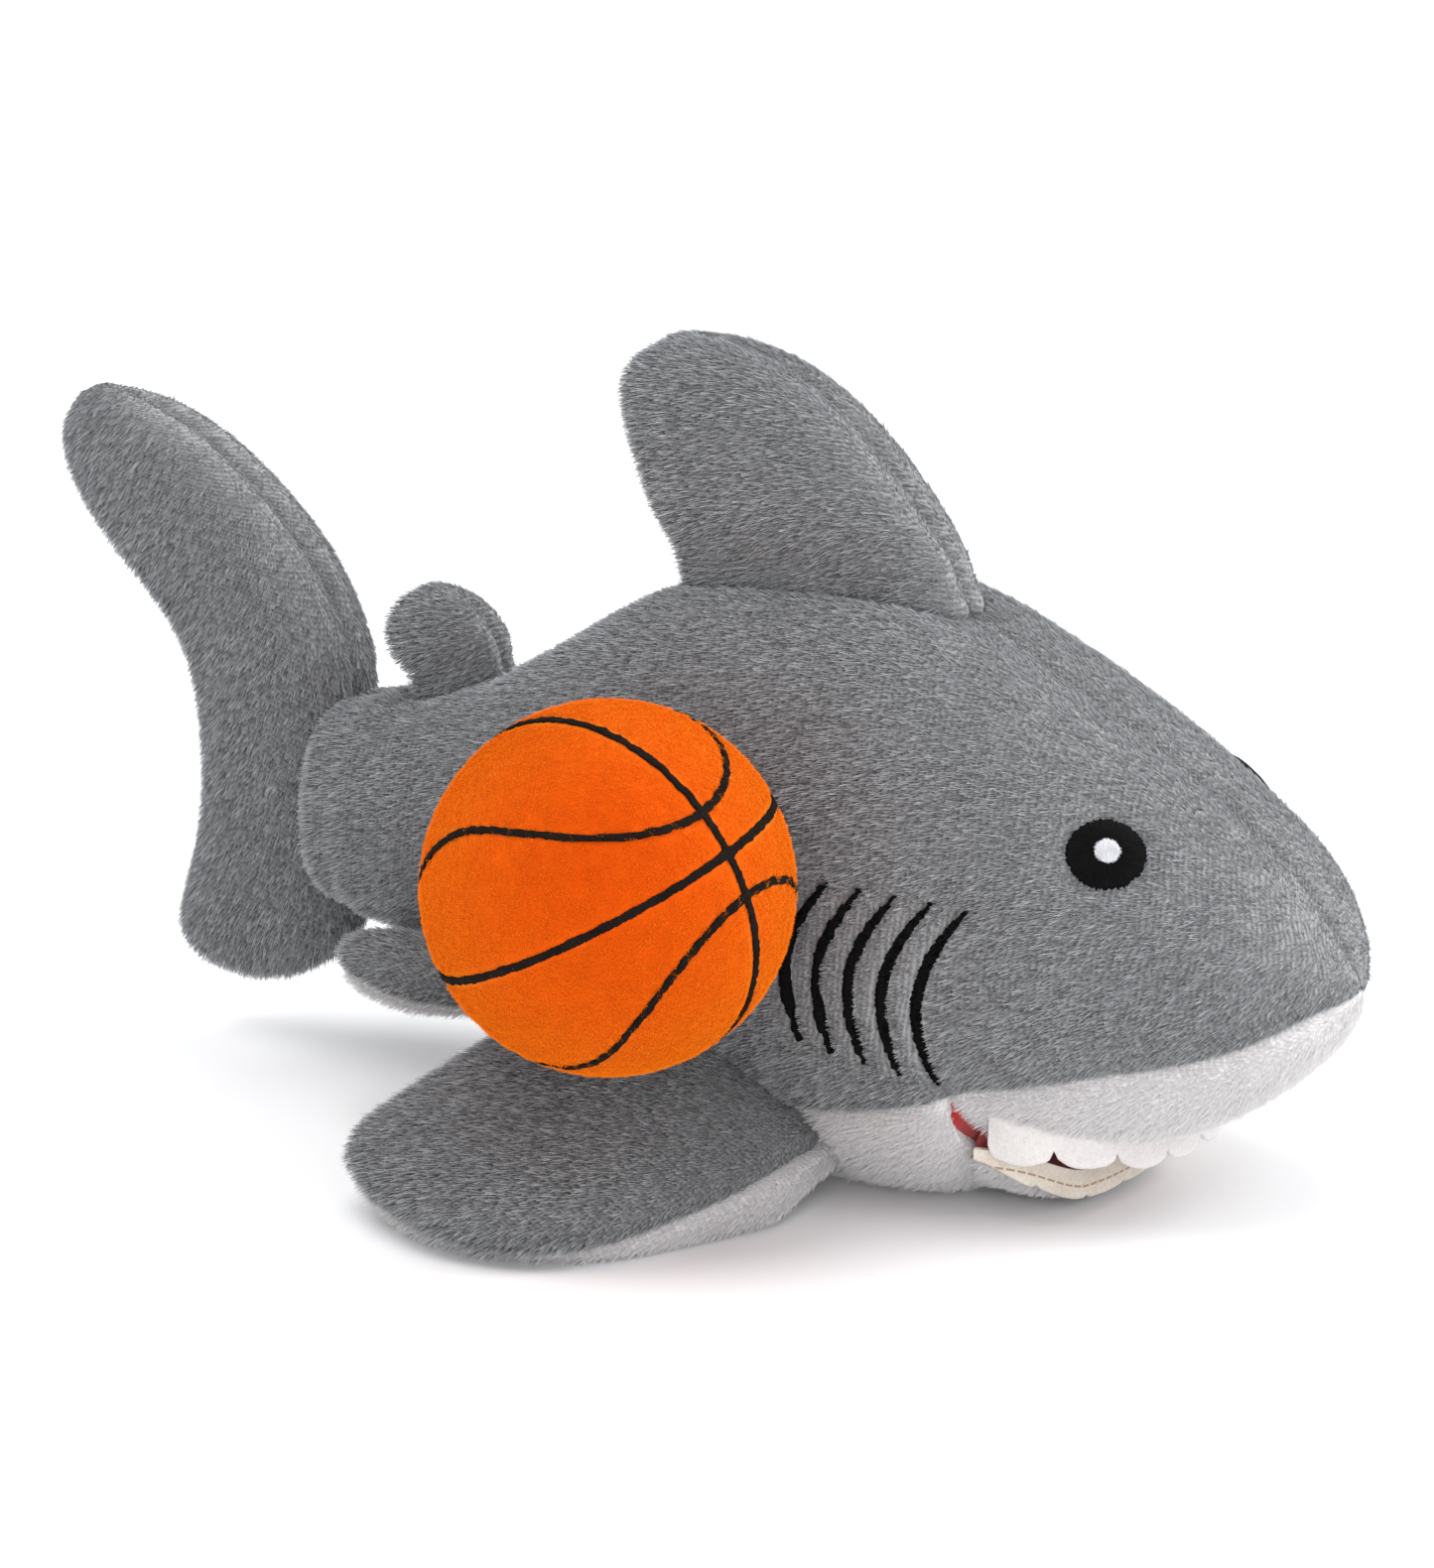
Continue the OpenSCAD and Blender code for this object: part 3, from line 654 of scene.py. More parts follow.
def fin(shape, panels, root, size, plump, wrap):
    """A stuffed fin of two panels, and the line on the body where its root is sewn."""
    rings = grown(cushioned(rings_of(*shape), plump, wrap), SKIN)
    line = None
    if root is not None:
        rings, line = rooted(rings, **root)
    else:
        rings = tipped(rings[::-1], FIN_END)[::-1]
    rings = tipped(rings, FIN_END)
    half = rings.shape[1] // 2
    made = []
    for k, (label, ground, strands) in enumerate(panels):
        grid = dense(columns(rings, k * half, (k + 1) * half), *size)
        other = dense(columns(rings, (1 - k) * half, (2 - k) * half), *size)
        core = (grid.mean(axis=1, keepdims=True) + other.mean(axis=1, keepdims=True)) / 2
        grid, gap = puffed(grid, core, SIDES, (root is None, True), FIN_ROLL, FIN_SWELL)
        made.append((label, grid, gap, ground, strands, core))
    return made, line


# How uneven a fin's and the body's skin are, and how low each may go, so that the pile meets the floor.
FIN_UNEVEN = 0.35 * MM
BODY_UNEVEN = 0.45 * MM
FIN_LOW = 0.4 * MM
BODY_LOW = 0.3 * MM
GREY = (mat_grey, mat_grey_pile)
WHITE = (mat_white, mat_white_pile)


def upright(name):
    """The stuffing and panels of a fin on the middle line."""
    panels = [(f"{name}_{side}_panel", *GREY) for side in ("right", "left")]
    return (name + "_stuffing", UP, NOSE, -LEFT), panels


def root_of(flare, inward, reach, sink=3.0 * MM, follow=0.6):
    return {"keep": 1, "flare": flare, "inward": inward, "reach": reach, "sink": sink, "follow": follow}


# Each fin: its stuffing, the way it points, its panels, its root, its mesh's rows and columns, how plump
# it is and how far its first panel wraps round it, the span given for its bend (the way, and how far from
# the hinge that starts and ends), which only makes settle bake its panels in place, and its nap.
FIN_SPECS = {
    "dorsal_fin": (
        *upright("dorsal_fin"), root_of((1.02, 1.25, 1.0), (0, 0, -1), 14 * MM), (72, 44), 1.2, (0, 0),
        (UP, 0.0, 13 * MM), (-0.95, 0.0, -0.25)),
    "rear_dorsal_fin": (
        *upright("rear_dorsal_fin"), root_of((1.0, 1.15, 1.0), (0, 0, -1), 9 * MM), (40, 28), 1.15, (0, 0),
        (UP, 0.0, 7 * MM), (-0.9, 0.0, -0.3)),
    "tail_fin": (
        *upright("tail_fin"), None, (100, 40), 1.1, (0, 0),
        (-NOSE, 0.0, 18 * MM), (-0.35, 0.0, -0.9)),
}
for side, y in (("right", -1), ("left", 1)):
    FIN_SPECS["pectoral_fin_" + side] = (
        (f"pectoral_{side}_stuffing", y * LEFT, NOSE, UP),
        [(f"pectoral_{side}_top_panel", *GREY), (f"pectoral_{side}_bottom_panel", *WHITE)],
        root_of((1.12, 1.0, 1.25), (0, -y, 0), 20 * MM, 4 * MM, 0.0), (64, 44), 1.25, (-0.55, 0.75),
        (y * LEFT, -2 * MM, 18 * MM), (-0.6, 0.75 * y, -0.3))
    FIN_SPECS["pelvic_fin_" + side] = (
        (f"pelvic_{side}_stuffing", y * LEFT - 0.3 * NOSE, NOSE, UP),
        [(f"pelvic_{side}_top_panel", *GREY), (f"pelvic_{side}_bottom_panel", *WHITE)],
        root_of((1.1, 1.0, 1.2), (0, -y, 0), 12 * MM, 3 * MM, 0.0), (36, 26), 1.1, (0.35, 0.7),
        (y * LEFT, -1 * MM, 9 * MM), (-0.8, 0.5 * y, -0.2))

JOINTS = {joint["child"]: joint for joint in frame["joints"]}


def settle(obj, material, body, replaced, bend=None):
    """Gives a piece its material and its body, or, where bend is given, bakes its place into its mesh and
    leaves it without a body; and hides the CAD nodes that it replaces.
    """
    obj.data.materials.append(material)
    if bend:
        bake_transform(obj)
    else:
        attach(obj, body)
    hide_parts(*replaced)


def finish_plush(obj, body, ground, strands, replaced, nap, pile_share, seed, length=PILE, bend=None):
    """Gives a plush piece its pile and what settle gives. pile_share is the pile's length at each point."""
    attribute(obj, "pile", pile_share)
    pile(obj, strands, length, DENSITY, nap, seed)
    settle(obj, ground, body, replaced, bend)


def short_at(gap, reach=2.2 * MM, least=0.45):
    """Pile is shorter at a seam."""
    return least + (1 - least) * np.clip(gap / reach, 0, 1)


ROOTS = {}
for body, (*spec, (way, near, far), nap) in FIN_SPECS.items():
    made, ROOTS[body] = fin(*spec)
    pivot = np.array(JOINTS[body]["pos_m"])
    bend = (tuple(pivot + way * near), tuple(pivot + way * far))
    for k, (label, grid, gap, ground, strands, middle) in enumerate(made):
        grid = grid + FIN_UNEVEN * ripple(grid, 16 * MM, 5)[..., None] * unit(grid - middle)
        grid[..., 2] = np.maximum(grid[..., 2], FIN_LOW)
        obj = sheet_object(label.replace("_panel", ""), grid, middle)
        stuffing = label.rsplit("_", 2)[0] + "_stuffing"
        finish_plush(obj, body, ground, strands, [label, stuffing] if k == 0 else [label], nap,
                     short_at(gap), 3 + k, LONG_PILE if "pectoral" in body else PILE, bend)


# ---------------- where the embroidery goes

def facing(node):
    """A flat CAD piece's middle, and its outward normal and two directions across it."""
    points, _ = merged(node)
    middle = points.mean(axis=0)
    _, _, axes = np.linalg.svd(points - middle)
    normal = axes[2] if axes[2][1] * middle[1] > 0 else -axes[2]
    level = unit(np.cross(UP, normal))
    return middle, normal, level, np.cross(normal, level)


def slits(node):
    """The middle line and half width of each gill slit: one row for each height."""
    points, near = merged(node)
    left_over = set(range(len(points)))
    out = []
    while left_over:
        group, todo = set(), [left_over.pop()]
        while todo:
            i = todo.pop()
            group.add(i)
            for n in near[i]:
                if n in left_over:
                    left_over.remove(n)
                    todo.append(n)
        part = points[list(group)]
        rows = {}
        for p in part:
            rows.setdefault(round(p[2] / (0.2 * MM)), []).append(p)
        line = []
        for key in sorted(rows):
            row = np.array(rows[key])
            line.append([row[:, 0].mean(), row[:, 2].mean(), (row[:, 0].max() - row[:, 0].min()) / 2])
        out.append(np.array(line))
    return out


def reach_of(node, middle, normal):
    """A flat CAD piece's radius round a middle point."""
    points, _ = merged(node)
    off = points - middle
    return np.linalg.norm(off - np.outer(off @ normal, normal), axis=1).max()


EYES, GLINTS, STITCHED = {}, {}, []
for side in ("right", "left"):
    eye_middle, eye_normal, eye_level, eye_rise = facing("eye_" + side)
    EYES[side] = (eye_middle, reach_of("eye_" + side, eye_middle, eye_normal))
    glint_points, _ = merged("glint_" + side)
    GLINTS[side] = reach_of("glint_" + side, glint_points.mean(axis=0), eye_normal)
    for a in np.linspace(0, 2 * math.pi, 80, endpoint=False):
        way = eye_level * math.cos(a) + eye_rise * math.sin(a)
        STITCHED.append(eye_middle + way * EYES[side][1] * 1.02)
SLITS = {side: slits("gills_" + side) for side in ("right", "left")}
# The widest and narrowest that half a slit's stitches are, and how far from them the pile is gone,
# and short.
SLIT_HALF = 1.4 * MM
SLIT_LEAST = 1.05 * MM
SLIT_BARE = 0.9 * MM
SLIT_SHORT = 2 * MM
SLIT_POINTS, SLIT_HALVES = [], []
for side, y in (("right", -1), ("left", 1)):
    for line in SLITS[side]:
        for x, z, half in curve_through(line, np.linspace(0, len(line) - 1, 40)):
            SLIT_POINTS.append(flank(x, y, z)[0])
            SLIT_HALVES.append(min(half, SLIT_HALF))


def densified(line, step=1.0 * MM):
    """Points all the way round a closed line, about step apart."""
    out = []
    for a, b in zip(line, np.roll(line, -1, axis=0)):
        count = max(2, int(np.linalg.norm(b - a) / step))
        out += [a + (b - a) * t for t in np.linspace(0, 1, count, endpoint=False)]
    return out


SEWN_POINTS = [p for line in ROOTS.values() if line is not None for p in densified(line)]

body_start, _ = body_rows("back_panel_right")
belly_start, belly_end = body_rows("belly_panel")
ring_size = body_rings.shape[1]
body_last = len(body_rings) - 1

# How far from a fin's root, an eye and a gill slit the skin dips, and how deep.
SEWN_DIP = (4.5 * MM, 2.2 * MM)
EYE_DIP = (3.5 * MM, 1.3 * MM)
SLIT_DIP = (3.8 * MM, 2.1 * MM)
# The folds round the narrow stock: where they start and end, behind the origin, and their height.
FOLDS_START = (62 * MM, 85 * MM)
FOLDS_END = (105 * MM, 114 * MM)
FOLD = 1.5 * MM


def body_panel(rings, points, size, sewn, tip):
    """A panel of the body, pressed in at its seams, fins and embroidery, and folded at the narrow stock.
    rings and points are the first and last ones of the body's that it covers."""
    grid = dense(columns(body_rings[rings[0]:rings[1] + 1], *points), *size)
    core = grid.copy()
    core[..., 1] = 0
    core[..., 2] = BODY_HEART
    grid, gap = puffed(grid, core, sewn, (False, tip))
    grid, sewn_gap = dipped(grid, core, SEWN_POINTS, *SEWN_DIP)
    grid, eye_gap = dipped(grid, core, STITCHED, *EYE_DIP)
    grid, _ = dipped(grid, core, SLIT_POINTS, *SLIT_DIP)
    normal = unit(grid - core)
    if rings[0] == 0:
        behind = -grid[..., 0]
        folds = smooth(behind, *FOLDS_START) * (1 - smooth(behind, *FOLDS_END)) * FOLD
        wave = ripple(grid * np.array([1, 0.25, 0.25]), 9 * MM, 11)
        grid = grid + normal * (folds * wave)[..., None]
    grid = grid + normal * (BODY_UNEVEN * ripple(grid, 24 * MM, 17))[..., None]
    return grid, core, np.minimum(gap, np.minimum(sewn_gap, eye_gap + 0.4 * MM))


# The stump's closing rows: how many millimetres behind the panel each lies, and its share of its size.
STUMP = ((10.0, 0.3), (9.6, 0.55), (8.4, 0.8), (6.5, 0.93), (3.5, 0.99))
STUMP_CENTRE = np.array([0, 57.2 * MM])


def stump_end(grid):
    """The rear rows of a body panel drawn in, so that they tuck into the tail fin."""
    extra = []
    for k, share in STUMP:
        row = grid[0].copy()
        row[:, 1:] = STUMP_CENTRE + (row[:, 1:] - STUMP_CENTRE) * share
        row[:, 0] -= k * MM
        extra.append(row)
    return np.concatenate([extra, grid])


BODY_NAP = (-0.9, 0.0, -0.35)
GRIDS = {}
for side, points in (("right", (0, seams)), ("left", (ring_size - seams, ring_size))):
    grid, core, gap = body_panel((body_start, body_last), points, (150, 60), SIDES, True)
    grid = stump_end(grid)
    gap = np.concatenate([np.full((len(STUMP), gap.shape[1]), 4 * MM), gap])
    GRIDS["back_" + side] = (grid, core, gap)
under = (seams, ring_size - seams)
GRIDS["belly"] = body_panel((belly_start, belly_end), under, (96, 52), SIDES_AND_LAST, False)
GRIDS["upper_lip"] = body_panel((belly_end, body_last), under, (60, 52), SIDES_AND_FIRST, True)

# Where the mouth's corners are along the body, how far their seam slants forward, how far the lip and
# the belly are drawn away from it, and how far along a panel that reaches.
MOUTH_X = body_rings[belly_end, :, 0].mean()
SLANT = 3.5 * MM
LIP_DRAWN = 3.8 * MM
BELLY_DRAWN = -2.0 * MM
DRAWN_REACH = 7 * MM


def drawn_back(grid, core, gap, first, by):
    """Draws the first or last rows of a panel away from the corners of the mouth."""
    along = walk(grid, 0)
    away = along if first else along[-1:] - along
    height = grid[..., 2]
    above = smooth(height, 8 * MM, 13 * MM)
    open_at = above * (1 - smooth(height, 17 * MM, 27 * MM))
    slant = SLANT * above * (1 - smooth(height, 13 * MM, 27 * MM))
    grid = grid.copy()
    grid[..., 0] += (by * open_at + slant) * np.exp(-(away / DRAWN_REACH) ** 2)
    return grid, core, gap


GRIDS["upper_lip"] = drawn_back(*GRIDS["upper_lip"], True, LIP_DRAWN)
GRIDS["belly"] = drawn_back(*GRIDS["belly"], False, BELLY_DRAWN)
SKIN_TREES = [tree_of(grid, grid_faces(*grid.shape[:2])) for grid, _, _ in GRIDS.values()]


def on_skin(p, way):
    """Where a ray from p meets the finished panels, and the skin's outward normal there."""
    best = None
    for tree in SKIN_TREES:
        place, normal, _, distance = tree.ray_cast(Vector(p), Vector(way))
        if place is not None and (best is None or distance < best[2]):
            best = (np.array(place), np.array(normal), distance)
    if best is None:
        return on_body(p, way)
    return best[0], best[1] if best[1] @ np.array(way) < 0 else -best[1]


# ---------------- embroidery

# How far stitches' edges are tucked into the skin: an eye's and a slit's.
EYE_TUCK = 0.8 * MM
SLIT_TUCK = 0.6 * MM
# How much higher one thread of an eye and of a slit is than the next.
EYE_THREAD = 0.12 * MM
SLIT_THREAD = 0.15 * MM
# How high a slit's stitches stand at their edges, and how much higher in the middle.
SLIT_LIFT = 0.7 * MM
SLIT_CROWN = 0.9 * MM
# How far out from an eye, and from the body's middle at a slit, the rays that look for the skin start.
EYE_RAY = 30 * MM
SLIT_RAY = 80 * MM


def disc(name, node, radius, lift, crown, material, stitches, ragged, seed, replaced, squat):
    """A round of satin stitches laid on the skin, squat times as tall as wide."""
    middle, normal, level, rise = facing(node)
    rng = np.random.default_rng(seed)
    turns, rounds = 192, 16
    ends = 1 + ragged * rng.uniform(-1, 1, turns)
    points, uv = [], []
    for i in range(rounds + 1):
        share = min(1.0, i / (rounds - 1))
        for k in range(turns):
            a = 2 * math.pi * k / turns
            r = radius * share * (1 + (ends[k] - 1) * share ** 2)
            p = middle + (level * math.cos(a) + rise * squat * math.sin(a)) * r
            place, _ = on_skin(p + normal * EYE_RAY, -normal)
            thread = EYE_THREAD * (k % 3 - 1) * share
            up = lift + thread + crown * (1 - share ** 4) if i < rounds else -EYE_TUCK
            points.append(place + normal * up)
            uv.append((r * math.cos(a) / MM, r * math.sin(a) / MM) if stitches == "straight"
                      else (a * radius / MM, r / MM))
    faces = grid_faces(rounds + 1, turns, closed=True)
    obj = add_object(name, points, faces, uv)
    settle(obj, material, "torso", replaced)


for side in ("right", "left"):
    middle, radius = EYES[side]
    disc("eye_stitches_" + side, "eye_" + side, radius * 0.93, 1.0 * MM, 0.6 * MM, mat_black_thread,
         "radial", 0.045, 21, ["eye_" + side], 0.92)
    disc("glint_stitches_" + side, "eye_" + side, GLINTS[side], 1.55 * MM, 0.4 * MM, mat_white_thread,
         "straight", 0.10, 22, ["glint_" + side], 0.96)


def gills(side, y):
    """One side's gill slits: rows of satin stitches, wider in the middle of a slit than at its ends."""
    rng = np.random.default_rng(31)
    points, faces, uv = [], [], []
    for line in SLITS[side]:
        stitches, across = 92, 7
        rows = curve_through(line, np.linspace(0, len(line) - 1, stitches))
        start = len(points)
        for i, (x, z, half) in enumerate(rows):
            taper = min(1.0, 9.0 * min(i, stitches - 1 - i) / stitches + 0.25)
            wide = np.clip(half, SLIT_LEAST, SLIT_HALF) * taper
            edge = 1 + rng.uniform(-0.14, 0.14, 2)
            for j in range(across):
                v = 2 * j / (across - 1) - 1
                shift = v * wide * (edge[0] if v < 0 else edge[1])
                place, normal = on_skin((x + shift, y * SLIT_RAY, z), (0, -y, 0))
                crown = SLIT_CROWN * math.sqrt(max(1 - v * v, 0))
                base = -SLIT_TUCK if j in (0, across - 1) else SLIT_LIFT
                points.append(place + normal * (crown + SLIT_THREAD * (i % 2) + base))
                uv.append((i * 0.42, v * wide / MM))
        faces += grid_faces(stitches, across, start=start, flip=y > 0)
    obj = add_object("gill_stitches_" + side, points, faces, uv)
    settle(obj, mat_black_thread, "torso", ["gills_" + side])


gills("right", -1)
gills("left", 1)


def clear_of_stitches(grid, share):
    """Pile left off under the embroidery."""
    flat = grid.reshape(-1, 3)
    out = share.reshape(-1).copy()
    for middle, radius in EYES.values():
        gap = np.linalg.norm(flat - middle, axis=1) - radius * 0.9
        out = np.minimum(out, np.where(gap < -0.3 * MM, 0.0, 1.0))
    for p, half in zip(SLIT_POINTS, SLIT_HALVES):
        gap = np.linalg.norm(flat - p, axis=1) - half
        near = 0.4 + 0.6 * np.clip((gap - SLIT_BARE) / SLIT_SHORT, 0, 1)
        out = np.where(gap < SLIT_BARE, 0.0, np.minimum(out, near))
    return out.reshape(share.shape)


PANEL_OF = {
    "back_right": (["back_panel_right", "body_stuffing"], *GREY),
    "back_left": (["back_panel_left"], *GREY),
    "belly": (["belly_panel"], *WHITE),
    "upper_lip": (["upper_lip_panel"], *WHITE),
}
for seed, (name, (grid, core, gap)) in enumerate(GRIDS.items()):
    replaced, ground, strands = PANEL_OF[name]
    grid = grid.copy()
    grid[..., 2] = np.maximum(grid[..., 2], BODY_LOW)
    obj = sheet_object(name, grid, grid * NOSE + UP * BODY_HEART)
    finish_plush(obj, "torso", ground, strands, replaced, BODY_NAP,
                 clear_of_stitches(grid, short_at(gap)), seed=11 + seed)


# ---------------- mouth

def arc(node, count, power_x, power_y, margin, back=0.0):
    """Plan curve round a band of teeth, from its box: right corner, front, left corner, in even steps.
    back is how far behind the CAD band it starts."""
    low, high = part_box(node)
    a = np.pi * np.linspace(margin, 1 - margin, 400)
    reach = np.sin(np.pi * margin) ** power_x
    x = low.x - back + (high.x - low.x + back) * (np.sin(a) ** power_x - reach) / (1 - reach)
    side = np.sign(np.cos(a)) * abs(np.cos(a)) ** power_y
    y = low.y * side / abs(side).max()
    length = np.concatenate([[0], np.cumsum(np.hypot(np.diff(x), np.diff(y)))])
    even = np.linspace(0, length[-1], count)
    plan = np.stack([np.interp(even, length, x), np.interp(even, length, y), np.zeros(count)], axis=1)
    out = np.cross(unit(np.gradient(plan, axis=0)), UP)
    return plan, out * np.sign(out[count // 2, 0])


def band(name, path, outward, heights, thick, material, body, replaced, lean):
    """A felt strip that follows a path of top points. heights gives its depth at each of them."""
    rows = 9
    heights = heights * (1 + 0.03 * ripple(path, 1.5 * MM, 81))
    outer, inner = [], []
    for i in range(rows + 1):
        s = i / rows
        hang = path - UP * (s * heights)[:, None] + outward * (lean * s * heights)[:, None]
        hang = hang + outward * (0.25 * MM * s * ripple(hang, 7 * MM, 82))[:, None]
        outer.append(hang + outward * thick)
        inner.append(hang)
    lip = (outer[-1] + inner[-1]) / 2 - UP * thick * 0.35
    grid = np.array(outer + [lip] + inner[::-1])
    uv = np.stack([walk(grid, 0), walk(grid, 1)], axis=-1) / MM
    obj = add_object(name, grid.reshape(-1, 3), grid_faces(*grid.shape[:2]), uv.reshape(-1, 2))
    settle(obj, material, body, replaced)


def teeth(count, steps, blunt):
    """1 at each tooth's middle and 0 between two teeth."""
    return abs(np.sin(np.pi * np.linspace(0, count, steps))) ** blunt


def jaw_lift(grid):
    """The jaw's sides rise to the corners of the mouth."""
    lift = JAW_RISE * smooth(abs(grid[..., 1]), 0.017, 0.037)
    return grid + UP * lift[..., None]


UPPER_TEETH, LOWER_TEETH = 8, 7
# How far the jaw's sides rise, the span behind the mouth given as its bend, which only makes settle bake the
# jaw's pieces in place, and its shorter pile.
JAW_RISE = 7.3 * MM
JAW_BEND = ((0.040, 0, 0.008), (0.052, 0, 0.008))
JAW_PILE = 1.6 * MM
# The teeth's plan curves, as arc wants them.
UPPER_ARC = (0.85, 0.85, 0.04)
LOWER_ARC = (0.95, 0.95, 0.05, 4 * MM)
# How deep the cut between two upper teeth is.
TOOTH_CUT = 3.3 * MM
plan, out_way = arc("upper_teeth", UPPER_TEETH * 16 + 1, *UPPER_ARC)
tops = np.array([underside(q) for q in plan])
tops = tops + UP * 1.0 * MM - out_way * 0.8 * MM
tip_z = 10.8 * MM + 3.0 * MM * smooth(abs(plan[:, 1]), 0.012, 0.037)
drop = tops[:, 2] - tip_z - TOOTH_CUT * (1 - teeth(UPPER_TEETH, len(plan), 0.42))
band("upper_teeth_felt", tops, out_way, drop, 1.1 * MM, mat_white_felt, "torso", ["upper_teeth"], 0.10)

plan, out_way = arc("lower_teeth", LOWER_TEETH * 14 + 1, *LOWER_ARC)
tops = jaw_lift(plan + UP * (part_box("lower_teeth")[1].z + 0.3 * MM))
share = np.linspace(0, 1, len(plan))
whole = 0.4 + 0.6 * smooth(np.minimum(share, 1 - share), 0.0, 0.13)
drop = (4.9 + 0.8 * teeth(LOWER_TEETH, len(plan), 0.25)) * MM * whole
band("lower_teeth_felt", tops, out_way, drop, 1.2 * MM, mat_cream_felt, "lower_jaw", ["lower_teeth"], 0.12)

jaw_rings = grown(rings_of("lower_jaw_stuffing", NOSE, -LEFT, UP), SKIN)
# The jaw goes on behind its CAD solid: how far back each ring lies, and how wide it is.
JAW_BACK = ((12 * MM, 0.7), (6 * MM, 0.88))
back = [jaw_rings[0] * np.array([1, width, 1]) - NOSE * behind for behind, width in JAW_BACK]
jaw_rings = tipped(np.concatenate([back, jaw_rings]), 1.0 * MM)
half = jaw_rings.shape[1] // 2
for k, (name, material, strands, replaced) in enumerate((
        ("lower_jaw_top", mat_red, None, ["lower_jaw_lining"]),
        ("lower_jaw_cover_plush", *WHITE, ["lower_jaw_cover", "lower_jaw_stuffing"]))):
    grid = jaw_lift(dense(columns(jaw_rings, k * half, (k + 1) * half), 36, 40))
    centre = grid.mean(axis=1, keepdims=True) * np.array([1, 0, 1]) + UP * (3 * MM if k else -3 * MM)
    obj = sheet_object(name, grid, centre)
    if strands:
        attribute(obj, "pile", np.ones(grid.shape[:2]))
        pile(obj, strands, JAW_PILE, DENSITY, (-0.9, 0, -0.2), 41)
    settle(obj, material, "lower_jaw", replaced, JAW_BEND)


def mouth_lining():
    """The roof and back wall of the mouth, and the folds of it that show at the corners."""
    plan, out = arc("upper_teeth", 61, *UPPER_ARC)
    wall_foot, corner_top = 9 * MM, 27.5 * MM
    rows = []
    for s in np.linspace(0, 1, 12):
        row = plan * (1 - s) + (NOSE * MOUTH_X + plan * np.array([0, 0.9, 0])) * s
        row[:, 2] = [underside(q)[2] - 0.7 * MM for q in row]
        rows.append(row - out * 0.9 * MM * (1 - s))
    for s in np.linspace(0.15, 1, 8):
        row = rows[11].copy()
        row[:, 1] *= 1 - 0.12 * s
        row[:, 2] = row[:, 2] * (1 - s) + wall_foot * s
        rows.append(row)
    roof = np.array(rows)
    points = list(roof.reshape(-1, 3))
    uv = list((np.stack([walk(roof, 0), walk(roof, 1)], axis=-1) / MM).reshape(-1, 2))
    faces = grid_faces(*roof.shape[:2])
    for y in (-1, 1):
        start = len(points)
        heights = np.linspace(wall_foot, corner_top, 24)
        depths = np.linspace(-5 * MM, 6 * MM, 9)
        for z in heights:
            sink = 1.7 * MM + 3.0 * MM * float(smooth(z, 20 * MM, corner_top))
            for x in depths:
                place, normal = flank(MOUTH_X + x, y, z)
                points.append(place - normal * sink)
                uv.append((z / MM, x / MM))
        faces += grid_faces(len(heights), len(depths), start=start, flip=y > 0)
    obj = add_object("mouth_lining", points, faces, uv)
    settle(obj, mat_red, "torso", ["palate_lining"])


mouth_lining()


# ---------------- ball

# The ball's flock: its length, strands to a square metre, thickness, and how far a line keeps it off.
FLOCK = 0.7 * MM
FLOCK_DENSITY = 1.3e7
FLOCK_RADIUS = 0.05 * MM
FLOCK_OFF = (0.5 * MM, 1.4 * MM)
ball_low, ball_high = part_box("ball_stuffing")
ball_at = (np.array(ball_low) + np.array(ball_high)) / 2
cover_points, _ = merged("ball_cover_upper")
ball_r = np.linalg.norm(cover_points - ball_at, axis=1).max()
BALL_LINES = ("ball_ring_lines", "ball_curve_lines")
line_points = np.concatenate([merged(node)[0] for node in BALL_LINES])
LINE_TREE = KDTree(len(line_points))
for k, p in enumerate(line_points):
    LINE_TREE.insert(p, k)
LINE_TREE.balance()


def ball_half(node, name, replaced, seed):
    """Half of the ball's cover, a little uneven, with flock everywhere but on the dark lines."""
    points, _ = merged(node)
    pole = unit((points - ball_at).mean(axis=0))
    level = unit(np.cross(pole, UP))
    third = np.cross(pole, level)
    rows = []
    for a in np.linspace(0.0, math.pi / 2, 80):
        ring = []
        for b in np.linspace(0, 2 * math.pi, 240, endpoint=False):
            ring.append(pole * math.cos(a) + (level * math.cos(b) + third * math.sin(b)) * math.sin(a))
        rows.append(ring)
    way = np.array(rows)
    way[0] = pole + 1e-4 * (way[1] - pole)
    swell = 1 + 0.004 * ripple(way, 0.9, 51) + 0.0015 * ripple(way, 0.3, 52)
    grid = ball_at + unit(way) * ball_r * swell[..., None]
    faces = grid_faces(*grid.shape[:2], closed=True, flip=True)
    obj = add_object(name, grid.reshape(-1, 3), faces)
    gap = np.array([LINE_TREE.find(p)[2] for p in grid.reshape(-1, 3)])
    attribute(obj, "pile", smooth(gap, *FLOCK_OFF))
    pile(obj, mat_orange_pile, FLOCK, FLOCK_DENSITY, (0.0, 0.0, -0.3), seed, 0.5, FLOCK_RADIUS, rows=0.0)
    settle(obj, mat_orange, "ball", [node, *replaced])


ball_half("ball_cover_upper", "ball_upper", ["ball_stuffing"], 61)
ball_half("ball_cover_lower", "ball_lower", [], 62)


line_felt = felt_material("black_stitches", (0.004, 0.003, 0.002), (0.016, 0.012, 0.010), NO_SHEEN)
# How finely the ball's lines are rebuilt, and how far their stitches wander and sink.
LINE_VOXEL = 0.42 * MM
LINE_WANDER = 0.22 * MM
LINE_SINK = 0.15 * MM


